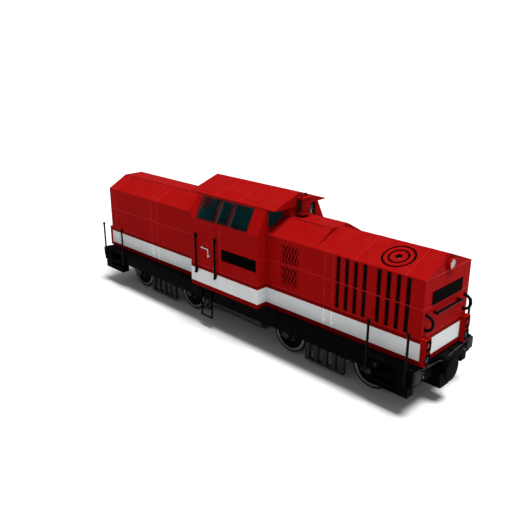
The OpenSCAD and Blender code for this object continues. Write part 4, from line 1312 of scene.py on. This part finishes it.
    @staticmethod
    def _pillow(shape: Shape, low: Array, high: Array, thin: int, count: int = 17) -> None:
        """A crowned closed form: two grids whose height falls to the seam as a root of the edge distance.

        Over a square of u and v from -1 to 1 the half height is the fourth root of
        (1 - u^4)(1 - v^4), and the sides pull in between the corners by a share of 1 - v^2.
        """
        u, v = np.meshgrid(*[np.sin(np.linspace(-np.pi / 2, np.pi / 2, count))] * 2, indexing="ij")
        half, middle = (high - low) / 2, (high + low) / 2
        axes = [i for i in range(3) if i != thin]
        rise = 0.35 + 0.65 * ((1 - u ** 4) * (1 - v ** 4)) ** 0.5
        rise = rise * ((1 - u ** 8) * (1 - v ** 8)) ** 0.25
        faces = []
        for sign in (1.0, -1.0):
            p = np.empty(u.shape + (3,))
            p[..., axes[0]] = middle[axes[0]] + half[axes[0]] * u * (1 - 0.04 * (1 - v ** 2))
            p[..., axes[1]] = middle[axes[1]] + half[axes[1]] * v * (1 - 0.04 * (1 - u ** 2))
            p[..., thin] = middle[thin] + sign * half[thin] * rise
            faces.append(p)
        for p in faces:
            shape.grid(p)
        edge = faces[0]
        rim = np.concatenate([edge[:-1, 0], edge[-1, :-1], edge[:0:-1, -1], edge[0, :0:-1]])
        up = np.zeros(3)
        up[thin] = 1.0
        shape.sweep(rim, circle(0.005, 6), up, True, slot=1)

    def build(self) -> None:
        """Makes every piece of the cab."""
        self.glazing()
        self.wipers()
        self.doors()
        self.roof()
        self.plates()
        self.desks()
        self.seats()


def puff(pad: bpy.types.Object, most: float, frames: int = 16) -> None:
    """Blows a closed pad up as pressurised cloth and keeps the result, each point held near its start.

    Args:
        pad: the closed mesh.
        most: how far a point may move, in metres.
        frames: how many steps the cloth runs.
    """
    scene = bpy.context.scene
    start = np.empty(len(pad.data.vertices) * 3, np.float32)
    pad.data.vertices.foreach_get("co", start)
    cloth = pad.modifiers.new("cloth", "CLOTH")
    cloth.settings.quality = 4
    cloth.settings.use_pressure = True
    cloth.settings.uniform_pressure_force = 4.0
    cloth.settings.effector_weights.gravity = 0.0
    cloth.collision_settings.use_collision = False
    for step in range(1, frames + 1):
        scene.frame_set(step)
    shown = pad.evaluated_get(bpy.context.evaluated_depsgraph_get())
    moved = np.empty(len(start), np.float32)
    shown.data.vertices.foreach_get("co", moved)
    shift = np.nan_to_num((moved - start).reshape(-1, 3))
    length = np.linalg.norm(shift, axis=1, keepdims=True)
    shift *= np.minimum(1.0, most / np.maximum(length, 1e-9))
    pad.modifiers.remove(cloth)
    pad.data.vertices.foreach_set("co", start + shift.ravel())
    pad.data.update()
    scene.frame_set(1)


# ------------------------------------------------------------------ lamps and rails


@dataclass
class Lamps:
    """Head lamps, and the stacked marker lamps at each corner."""

    plan: Plan

    def build(self) -> None:
        """Bezels, reflectors and domed ribbed lenses."""
        p = self.plan
        _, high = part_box("lamp_housings")
        face = high.x
        y = p.hood_half - 0.125
        bezels, clear, teal, red, mirrors = Shape(), Shape(), Shape(), Shape(), Shape()
        for z, glass, lining in ((p.deck + 0.192, teal, 1), (p.deck + 0.556, red, 2)):
            for side in SIDES:
                seat = Seat(np.array([face, side * y, z]), np.array([0, 1.0, 0]), np.array([0, 0, 1.0]))
                outer = self._squircle(0.112, 0.150)
                inner = self._squircle(0.070, 0.082)
                rings = [(outer, -0.004), (outer, 0.010), (outer * 0.95, 0.016), (inner * 1.12, 0.014),
                         (inner, 0.006), (inner, -0.026)]
                bezels.grid(np.stack([seat.at(o[:, 0], o[:, 1], d) for o, d in rings]), True, True)
                dome = [(inner * k, 0.002 + 0.012 * (1 - k ** 2))
                        for k in (0.995, 0.9, 0.75, 0.5, 0.25, 0.02)]
                back = [(inner * 0.02, -0.006), (inner * 0.995, -0.006)]
                loop = [seat.at(o[:, 0], o[:, 1], d) for o, d in back + dome]
                glass.grid(np.stack(loop), False, True, True)
                cup = [(inner * k, -0.022 + 0.012 * k ** 2) for k in (0.02, 0.4, 0.8, 0.99)]
                cup += [(inner * 0.99, -0.028), (inner * 0.02, -0.028)]
                mirrors.grid(np.stack([seat.at(o[:, 0], o[:, 1], d) for o, d in cup]), False, True, True,
                             slot=lining)
        head = (p.end, 0.0, p.fold + 0.161)
        bezels.lathe([(0.150, 0.052), (0.158, 0.060), (0.158, 0.068), (0.150, 0.074), (0.126, 0.074),
                      (0.121, 0.066), (0.121, 0.052)], head, (1, 0, 0), 64, ring=True, slot=1)
        clear.lathe([(0, 0.050), (0.1205, 0.050), (0.1205, 0.060), (0.10, 0.071), (0.06, 0.079), (0, 0.083)],
                    head, (1, 0, 0), 64)
        mirrors.lathe([(0, 0.032), (0.05, 0.034), (0.09, 0.039), (0.119, 0.048), (0.119, 0.031), (0, 0.031)],
                      head, (1, 0, 0), 48)
        for shape in (bezels, clear, teal, red, mirrors):
            shape.both_ends()
        piece("lamp_bezels", bezels, [Coat.PLATE, Coat.SEAM_RED], "locomotive")
        piece("head_lamp_glass", clear, [Coat.CLEAR], "locomotive", ("lamp_lenses_clear",))
        piece("marker_lamp_glass", teal, [Coat.TEAL], "locomotive")
        piece("tail_lamp_glass", red, [Coat.REDLENS], "locomotive", ("lamp_lenses_red",))
        piece("lamp_reflectors", mirrors, [Coat.MIRROR, Coat.TEAL_CUP, Coat.RED_CUP], "locomotive")

    @staticmethod
    def _squircle(a: float, b: float, count: int = 40, power: float = 5.0) -> Array:
        """Outline between an ellipse and a box: |u/a|^p + |v/b|^p = 1."""
        angle = np.linspace(0, 2 * np.pi, count, endpoint=False)
        c, s = np.cos(angle), np.sin(angle)
        radius = (np.abs(c) ** power + np.abs(s) ** power) ** (-1 / power)
        return np.stack([a * radius * c, b * radius * s], -1)


@dataclass
class Rails:
    """Feet, collars and bolts of the posts and rails."""

    plan: Plan
    rail: float = 0.032
    grab: float = 0.038
    knob: float = 0.050
    step_length: float = 1.09

    def posts(self, shape: Shape) -> None:
        """Clamps that hold each corner post to the frame, and sleeves along it."""
        p, rod = self.plan, self.rail
        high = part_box("corner_posts")[1]
        y = high.y - self.knob
        for x in (high.x - self.knob, p.end - self.step_length - 0.135):
            for side in SIDES:
                for z in (p.deck - 0.32, p.deck - 0.06):
                    shape.block((x - 0.05, side * (p.frame_half - 0.001), z), (x + 0.05, side * y, z + 0.05),
                                0.006, 2)
                for z in (p.deck - 0.02, p.deck + 0.45, p.deck + 0.87):
                    shape.lathe([(rod - 0.001, 0), (rod + 0.006, 0.006), (rod + 0.006, 0.024),
                                 (rod - 0.001, 0.03)],
                                (x, side * y, z), (0, 0, 1), 24, ring=True)

    def feet(self, shape: Shape) -> None:
        """Flared feet with four bolts under the door rails, and flared feet on the end faces."""
        p = self.plan
        low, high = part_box("door_handrails")
        stem = self.rail * 0.8
        for x in (low.x + self.knob, high.x - self.knob):
            for z in (p.low_seam - 0.16, p.low_seam + 0.92):
                for side in SIDES:
                    shape.lathe(self._flare(stem, 0.022), (x, side * p.frame_half, z), (0, side, 0), 24)
                    ring = circle(stem + 0.016, 4)
                    places = np.stack([x + ring[:, 0], np.full(4, side * (p.frame_half + 0.006)),
                                       z + ring[:, 1]], -1)
                    shape.bolts(places, (0, side, 0), 0.006)
        bar, bow, reach = p.mid_seam - 0.195, p.mid_seam - 0.369, 0.193
        spots = [(y, bar, self.grab * 0.8) for y in (-0.56, 0.56)]
        spots += [(side * (p.hood_half - 0.165), bow + lift * reach, self.grab) for side in SIDES
                  for lift in (-1, 1)]
        for end in ENDS:
            for y, z, stem in spots:
                shape.lathe(self._flare(stem, 0.024), (end * p.end, y, z), (end, 0, 0), 28)

    @staticmethod
    def _flare(stem: float, tall: float) -> list[tuple[float, float]]:
        """Profile of a foot: a flat flange that closes in to just outside the stem."""
        return [(0, 0), (stem + 0.024, 0), (stem + 0.024, 0.006), (stem + 0.012, 0.011), (stem + 0.001, tall),
                (0, tall)]

    def build(self) -> None:
        """Makes the fittings."""
        shape = Shape()
        self.posts(shape)
        self.feet(shape)
        piece("rail_feet", shape, [Coat.RAIL], "locomotive")


# ------------------------------------------------------------------ frame and ends


@dataclass
class Chassis:
    """Buffers, pads, step treads, sill flanges, beam fittings and the tank."""

    plan: Plan

    def buffers(self) -> None:
        """A turned buffer with a domed disc, and a cast draw block that narrows downwards."""
        p, shape = self.plan, Shape()
        _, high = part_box("centre_buffers")
        z, half = 0.985, 0.338
        for end in ENDS:
            start = (end * p.beam, 0, z)
            reach = high.x - p.beam
            stem = [(0, 0), (0.205, 0), (0.205, 0.018), (0.19, 0.026), (0.19, 0.055), (0.165, 0.075),
                    (0.15, 0.13),
                    (0.15, 0.145), (0.125, 0.15), (0.12, reach - 0.10), (0.14, reach - 0.075),
                    (0.20, reach - 0.06),
                    (half - 0.02, reach - 0.052), (half, reach - 0.042), (half, reach - 0.020),
                    (half - 0.012, reach - 0.010), (half - 0.06, reach - 0.005), (half * 0.5, reach - 0.001),
                    (0, reach)]
            rows = np.zeros(len(stem) - 1, int)
            rows[-3:] = 1
            shape.lathe(stem, start, (end, 0, 0), 64, slot=rows)
            turn = np.arange(8) * np.pi / 4 + 0.2
            ring = np.stack([np.full(8, end * (p.beam + 0.018)), 0.198 * np.cos(turn) * 0.97,
                             z + 0.198 * np.sin(turn) * 0.97], -1)
            shape.bolts(ring, (end, 0, 0), 0.014)
            face = Seat(np.array([end * p.beam, 0, 0.0]), np.array([0, 1.0, 0]), np.array([0, 0, 1.0]))
            block = np.array([(-0.26, z - 0.105), (-0.26, z - 0.47), (-0.20, z - 0.55), (0.20, z - 0.55),
                              (0.26, z - 0.47), (0.26, z - 0.105)])
            low_out, high_out = sorted((-0.44 * end, end * 0.118))
            shape.prism(block, face, low_out, high_out)
            for y in (-0.16, 0.16):
                shape.block((end * (p.beam + 0.10), y - 0.022, z - 0.52),
                            (end * (p.beam + 0.12), y + 0.022, z - 0.16), 0.006, 2)
        piece("buffers_and_draw_blocks", shape, [Coat.BLACK, Coat.BLACK], "locomotive",
              ("centre_buffers",), bevel=0.006)

    def pads(self) -> None:
        """Rounded rubber pads on a steel plate at the beam's corners."""
        p, shape = self.plan, Shape()
        low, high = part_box("side_pads")
        y0, y1, z0, z1 = p.frame_half - 0.311, p.frame_half - 0.011, low.z, high.z
        for side in SIDES:
            shape.block((p.beam - 0.001, side * (y0 - 0.006), z0 - 0.006),
                        (p.beam + 0.012, side * (y1 + 0.006),
                                                                        z1 + 0.006), 0.004, 2, slot=1)
            shape.block((p.beam + 0.010, side * y0, z0), (high.x, side * y1, z1), 0.042, 5)
        shape.both_ends()
        piece("corner_pads", shape, [Coat.RUBBER, Coat.BLACK], "locomotive", ("side_pads",))

    def treads(self) -> None:
        """Chequered plates on the corner steps and the cab steps."""
        p, shape = self.plan, Shape()
        low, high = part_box("corner_steps")
        x1, x0 = high.x, high.x - 1.07
        for z in (low.z + 0.04, p.deck - 0.44 + 0.04):
            for side in SIDES:
                y = sorted((side * (p.frame_half - 0.268), side * (p.frame_half - 0.042)))
                shape.block((x0 + 0.045, y[0], z - 0.001), (x1 - 0.045, y[1], z + 0.004), 0.002, 1)
        shape.both_ends()
        low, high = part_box("cab_steps")
        bottom = low.z
        for z in (bottom, bottom + 0.3, bottom + 0.6):
            for side in SIDES:
                y = sorted((side * (p.frame_half + 0.001), side * (p.frame_half + 0.040)))
                shape.block((low.x + 0.045, y[0], z + 0.039), (high.x - 0.045, y[1], z + 0.044), 0.002, 1)
        piece("step_treads", shape, [Coat.TREAD], "locomotive")

    def sills(self) -> None:
        """A flange along the foot of each side sill, stiffeners behind it and rows of bolts."""
        p, shape = self.plan, Shape()
        z, x1 = p.deck - 0.35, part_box("corner_steps")[1].x - 1.08
        for side in SIDES:
            y = side * p.frame_half
            shape.block((-x1, y - side * 0.11, z - 0.012), (x1, y + side * 0.004, z + 0.004), 0.003, 1)
            for x in np.arange(-x1 + 0.4, x1, 0.61):
                web = Seat(np.array([x, y - side * 0.06, z]), np.array([0, -side, 0]), np.array([0, 0, 1.0]))
                outline = np.array([(0, 0), (0.06, 0), (0.20, 0.22), (0.20, 0.30), (0, 0.30)])
                shape.prism(outline, web, -0.006, 0.006)
            x = np.arange(-x1 + 0.15, x1, 0.305)
            shape.bolts(np.stack([x, np.full(len(x), y), np.full(len(x), p.deck - 0.03)], -1), (0, side, 0),
                        0.009)
        piece("sill_flanges", shape, [Coat.BLACK], "locomotive")

    def beam(self) -> None:
        """Uncoupling rods on the end beams, their brackets, shut-off cocks and bolts."""
        p, shape = self.plan, Shape()
        x = p.beam + 0.06
        for side in SIDES:
            rod = [(x, side * 1.08, p.deck - 0.03), (x, side * 0.99, p.deck - 0.05),
                   (x, side * 0.30, p.deck - 0.10), (x + 0.02, side * 0.16, p.deck - 0.13)]
            shape.rod(rod, 0.011, (1, 0, 0), 10, slot=1)
            for y in (0.90, 0.42):
                z = p.deck - 0.057 - (0.99 - y) * 0.07
                shape.block((p.beam - 0.001, side * (y - 0.015), z - 0.03),
                            (x + 0.014, side * (y + 0.015), z + 0.03), 0.004, 1)
            cock = (p.beam - 0.001, side * 1.03, p.deck - 0.26)
            shape.lathe([(0, 0), (0.034, 0), (0.034, 0.012), (0.022, 0.02), (0.022, 0.055), (0.030, 0.06),
                         (0.030, 0.078), (0.018, 0.083), (0, 0.083)], cock, (1, 0, 0), 20, slot=1)
            shape.rod([(p.beam + 0.04, side * 1.03, p.deck - 0.24),
                       (p.beam + 0.045, side * 1.03, p.deck - 0.17),
                       (p.beam + 0.05, side * 0.98, p.deck - 0.15)], 0.007, (1, 0, 0), 8, slot=1)
        y = np.concatenate([np.linspace(-1.05, -0.33, 7), np.linspace(0.33, 1.05, 7)])
        for z in (p.deck - 0.03, p.deck - 0.43):
            shape.bolts(np.stack([np.full(14, p.beam), y, np.full(14, z)], -1), (1, 0, 0), 0.011)
        shape.both_ends()
        piece("beam_fittings", shape, [Coat.BLACK, Coat.DULL], "locomotive")

    def tank(self) -> None:
        """The tank: an octagon-like section with rounded corners, straps, fillers and a small plate on each
        side.
        """
        low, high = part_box("fuel_tank")
        shape = Shape()
        half, base, top, cut, ease = high.y, low.z, high.z, 0.20, 0.05
        corners = [(-half, top, 0.0), (-half, base + cut, ease), (-half + cut, base, ease),
                   (half - cut, base, ease), (half, base + cut, ease), (half, top, 0.0)]
        outline = self._eased(corners)
        ends = Seat(np.zeros(3), np.array([0, 1.0, 0]), np.array([0, 0, 1.0]))
        outs = [(low.x, 0.985), (low.x + 0.012, 1.0), (high.x - 0.012, 1.0), (high.x, 0.985)]
        middle = np.array([0, (base + top) / 2])
        rows = [ends.at(*((outline - middle) * k + middle).T, x) for x, k in outs]
        shape.grid(np.stack(rows), False, True, True)
        for x in (low.x + 0.35, 0.0, high.x - 0.35):
            path = np.column_stack([np.full(len(outline), x), outline])[1:-1]
            shape.sweep(path, strap_profile(0.05, 0.006, 0.002)[:, ::-1] * (1, -1), (1, 0, 0))
        for side in SIDES:
            z = top - 0.20
            cap = [(0, -0.01), (0.055, -0.01), (0.055, 0.0), (0.048, 0.012), (0.036, 0.018), (0, 0.018)]
            shape.lathe(cap, (high.x - 0.20, side * half, z), (0, side, 0), 24, slot=1)
            shape.block((-0.05, side * (half - 0.001), z - 0.20), (0.05, side * (half + 0.006), z + 0.06),
                        0.004, 1)
        piece("fuel_tank_shell", shape, [Coat.GREY, Coat.BLACK], "locomotive", ("fuel_tank",))

    @staticmethod
    def _eased(corners: Sequence[tuple[float, float, float]]) -> Array:
        """Rounds the corners of an outline: each becomes the curve that halves its two cuts' lines."""
        points = np.array([c[:2] for c in corners])
        out = []
        for i, (x, y, ease) in enumerate(corners):
            here = np.array([x, y])
            if not ease:
                out.append(here[None])
                continue
            a = here + unit(points[i - 1] - here) * ease
            b = here + unit(points[(i + 1) % len(points)] - here) * ease
            t = np.linspace(0, 1, 6)[:, None]
            out.append((1 - t) ** 2 * a + 2 * t * (1 - t) * here + t ** 2 * b)
        return np.concatenate(out)

    def build(self) -> None:
        """Makes every piece of the frame and the ends."""
        self.buffers()
        self.pads()
        self.treads()
        self.sills()
        self.beam()
        self.tank()


# ------------------------------------------------------------------ running gear


@dataclass
class Bogie:
    """Springs, box covers and flanges of one bogie."""

    plan: Plan
    name: str
    pivot: float
    half_base: float
    wheel_z: float
    coils: float = 4.5
    coil_radius: float = 0.050
    coil_wire: float = 0.013

    def build(self) -> None:
        """Makes the pieces that ride on the bogie."""
        body = f"bogie_{self.name}"
        low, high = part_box(f"bogie_frame_{self.name}")
        side_y, beam_low = high.y, 0.79
        shape = Shape()
        for side in SIDES:
            y0, y1 = sorted((side * (side_y - 0.108), side * (side_y + 0.008)))
            for z in (beam_low - 0.008, beam_low + 0.102):
                shape.block((low.x + 0.01, y0, z), (high.x - 0.01, y1, z + 0.016), 0.004, 1)
            x = np.concatenate([np.arange(low.x + 0.12, self.pivot - 0.35, 0.16),
                                np.arange(self.pivot + 0.40, high.x - 0.08, 0.16)])
            shape.bolts(np.stack([x, np.full(len(x), side * side_y), np.full(len(x), beam_low + 0.055)], -1),
                        (0, side, 0), 0.011)
            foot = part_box(f"bogie_frame_{self.name}")[0].z
            shape.block((self.pivot - 0.71, y0, foot - 0.001), (self.pivot + 0.64, y1, foot + 0.018), 0.004,
                        1)
        piece(f"bogie_flanges_{self.name}", shape, [Coat.GREY], body)
        springs, covers = Shape(), Shape()
        for x in (self.pivot - self.half_base, self.pivot + self.half_base):
            for side in SIDES:
                y = side * (side_y - 0.05)
                for shift in (-0.215, 0.215):
                    self._spring(springs, x + shift, y, 0.535, beam_low - 0.006)
                covers.block((x - 0.28, side * (side_y - 0.095), 0.505),
                             (x + 0.28, side * (side_y - 0.005), 0.530), 0.006, 2)
                cap = [(0, 0.0), (0.118, 0.0), (0.118, 0.010), (0.105, 0.020), (0.095, 0.030), (0.05, 0.036),
                       (0.03, 0.044), (0, 0.044)]
                covers.lathe(cap, (x, side * (side_y + 0.020), self.wheel_z), (0, side, 0), 32)
                ring = circle(0.100, 6)
                places = np.stack([x + ring[:, 0], np.full(6, side * (side_y + 0.035)),
                                   self.wheel_z + ring[:, 1]], -1)
                covers.bolts(places, (0, side, 0), 0.010)
        piece(f"axle_springs_{self.name}", springs, [Coat.CAST], body)
        piece(f"axle_box_covers_{self.name}", covers, [Coat.GREY], body)

    def _spring(self, shape: Shape, x: float, y: float, z0: float, z1: float) -> None:
        """A coil spring: a rod along a helix whose first and last turns lie almost flat."""
        t = np.linspace(0, 1, int(self.coils * 16))
        rise = np.clip((t - 0.12) / 0.76, 0, 1) * 0.88 + 0.12 * t
        turn = 2 * np.pi * self.coils * t
        z = z0 + self.coil_wire + rise * (z1 - z0 - 2 * self.coil_wire)
        r = self.coil_radius - self.coil_wire
        shape.rod(np.stack([x + r * np.cos(turn), y + r * np.sin(turn), z], -1), self.coil_wire, sides=8)
        for a, b in ((z0 - 0.006, z0 + 0.004), (z1 - 0.004, z1 + 0.006)):
            shape.lathe([(0, a), (self.coil_radius, a), (self.coil_radius, b), (0, b)], (x, y, 0), (0, 0, 1),
                        20)


@dataclass
class Wheelset:
    """An axle with its two wheels, each turned from one profile."""

    number: int
    x: float
    z: float
    tread: float = 0.600
    flange: float = 0.026
    back: float = 0.680
    width: float = 0.135

    def build(self) -> None:
        """Turns both wheels and the axle, and puts balance holes' rims and bolts on the webs."""
        shape = Shape()
        steel, rim, web, dark = 0, 1, 2, 2
        r, f, b, w = self.tread, self.flange, self.back, self.width
        stretches = [
            (0.118, b - 0.03, web), (0.150, b - 0.03, web), (0.155, b, web), (0.155, b + 0.02, web),
            (0.20, b + 0.035, web), (r - 0.12, b + 0.045, web), (r - 0.075, b + 0.02, steel),
            (r - 0.07, b, steel),
            (r + f - 0.012, b, steel), (r + f - 0.003, b + 0.006, steel), (r + f, b + 0.013, steel),
            (r + f - 0.006, b + 0.022, steel), (r + 0.006, b + 0.030, steel), (r + 0.001, b + 0.042, steel),
            (r, b + 0.07, steel), (r - 0.003, b + w - 0.008, dark), (r - 0.010, b + w, dark),
            (r - 0.045, b + w, dark), (r - 0.050, b + w - 0.004, rim), (r - 0.120, b + w - 0.004, web),
            (r - 0.128, b + w - 0.02, web), (r - 0.14, b + w - 0.045, web), (0.26, b + w - 0.060, web),
            (0.18, b + w - 0.035, web), (0.155, b + w - 0.012, web), (0.15, b + w - 0.004, web),
            (0.118, b + w, web), (0.088, b + w, web), (0.088, b - 0.03, web)]
        profile = [s[:2] for s in stretches]
        slots = np.array([s[2] for s in stretches])
        hole_circle = 0.33
        for side in SIDES:
            shape.lathe(profile, (self.x, 0, self.z), (0, side, 0), 96, slots, ring=True)
            turn = np.arange(6) * np.pi / 3
            for a in turn:
                spot = (self.x + hole_circle * math.cos(a), side * (b + w - 0.062),
                        self.z + hole_circle * math.sin(a))
                shape.lathe([(0.030, 0), (0.036, 0.005), (0.036, 0.010), (0.030, 0.013), (0.024, 0.010),
                             (0.024, 0.0)], spot, (0, side, 0), 20, web, ring=True)
            ring = circle(0.125, 8)
            places = np.stack([self.x + ring[:, 0], np.full(8, side * (b + w)), self.z + ring[:, 1]], -1)
            shape.bolts(places, (0, side, 0), 0.009, web)
        axle = [(0, -0.945), (0.064, -0.945), (0.068, -0.94), (0.068, -b - w), (0.089, -b - w + 0.002),
                (0.089, -b + 0.06), (0.080, -b + 0.16), (0.080, b - 0.16), (0.089, b - 0.06),
                (0.089, b + w - 0.002), (0.068, b + w), (0.068, 0.94), (0.064, 0.945), (0, 0.945)]
        shape.lathe(axle, (self.x, 0, self.z), (0, 1, 0), 40, steel)
        name = f"wheelset_{self.number}"
        piece(f"{name}_turned", shape, [Coat.STEEL, Coat.RIM, Coat.TYRE], f"{name}_body",
              (name,))


# ------------------------------------------------------------------ stage


@dataclass
class Studio:
    """The floor, the light and the camera."""

    azimuth: float = 45.1416
    elevation: float = 19.3172
    camera_at: tuple[float, float, float] = (13.380, -13.338, 8.880)
    lens: float = 44.42
    sun: float = 4.6
    sun_tilt: float = 14.0
    sky: float = 0.30

    def build(self) -> None:
        """Lays the floor and sets the light and the camera."""
        scene = bpy.context.scene
        scene.view_settings.view_transform = "Standard"
        floor = Shape()
        ring = np.linspace(0.0, 60.0, 9)[:, None]
        turn = np.linspace(0, 2 * np.pi, 48, endpoint=False)[None]
        flat = np.stack([ring * np.cos(turn), ring * np.sin(turn), np.zeros((9, 48))], -1)
        floor.grid(flat, False, True)
        ground = bpy.data.objects.new("studio_floor", floor.mesh("studio_floor"))
        ground.data.materials.append(Coat.GROUND.material())
        scene.collection.objects.link(ground)
        lamp = bpy.data.lights.new("key_light", "SUN")
        lamp.energy, lamp.angle = self.sun, math.radians(25)
        key = bpy.data.objects.new("key_light", lamp)
        key.rotation_euler = (0, math.radians(self.sun_tilt), 0)
        scene.collection.objects.link(key)
        world = bpy.data.worlds.new("studio")
        world.use_nodes = True
        back = world.node_tree.nodes["Background"]
        back.inputs[0].default_value = (1.0, 1.0, 1.0, 1.0)
        wire = Wire(world.node_tree)
        seen = wire.node("LightPath").outputs["Is Camera Ray"]
        world.node_tree.links.new(wire.maths("MAXIMUM", seen, self.sky), back.inputs[1])
        scene.world = world
        view = bpy.data.cameras.new("camera")
        view.lens, view.sensor_width, view.clip_end = self.lens, 36.0, 200.0
        camera = bpy.data.objects.new("camera", view)
        camera.location = self.camera_at
        camera.rotation_euler = (math.radians(90 - self.elevation), 0, math.radians(self.azimuth))
        scene.collection.objects.link(camera)
        scene.camera = camera


# ------------------------------------------------------------------ the locomotive

NODE_COATS = {
    Coat.RED: ("short_hood", "long_hood_rear", "long_hood_front"),
    Coat.CAB_RED: ("cab_side_left", "cab_side_right", "cab_end_walls", "cab_door_left", "cab_door_right"),
    Coat.PLAIN_RED: ("cab_roof", "roof_box", "lamp_housings"),
    Coat.GRILLE: ("fan_grilles",),
    Coat.BLACK: ("underframe", "corner_steps", "cab_steps", "axle_boxes_front", "axle_boxes_rear"),
    Coat.RAIL: ("corner_posts", "door_handrails", "end_handrails"),
    Coat.GREY: ("bogie_frame_front", "bogie_frame_rear", "brake_shoes_front", "brake_shoes_rear"),
    Coat.PLATE: ("number_plates",),
    Coat.CORE: ("radiators",),
    Coat.CAST: ("engine_block", "transmission_block", "fan_carriers"),
    Coat.LINING: ("cab_floor", "control_desk"),
}

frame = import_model()
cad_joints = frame["joints"]


def corners(box) -> list[list[float]]:
    """A box's two corners as plain lists."""
    return [[float(v) for v in corner] for corner in box]


def main() -> None:
    """Builds the locomotive in order."""
    logging.basicConfig(level=logging.INFO, format="%(name)s %(message)s")
    for coat, names in NODE_COATS.items():
        for name in names:
            dress(frame["nodes"][name], coat)
    plan = Plan()
    Studio().build()
    for part in (Hoods(plan), Fans(plan), Cab(plan), Lamps(plan), Rails(plan), Chassis(plan)):
        LOG.info("building %s", type(part).__name__)
        part.build()
    joints = {j["name"]: j["pos_m"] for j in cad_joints}
    spins = [joints[f"wheelset_{i}_spin"] for i in (1, 2, 3, 4)]
    for name, first in (("rear", 0), ("front", 2)):
        pivot = joints[f"bogie_{name}_swivel"][0]
        Bogie(plan, name, pivot, (spins[first + 1][0] - spins[first][0]) / 2, spins[first][2]).build()
    for number, spin in enumerate(spins, 1):
        Wheelset(number, spin[0], spin[2]).build()


if __name__ == "__main__":
    main()
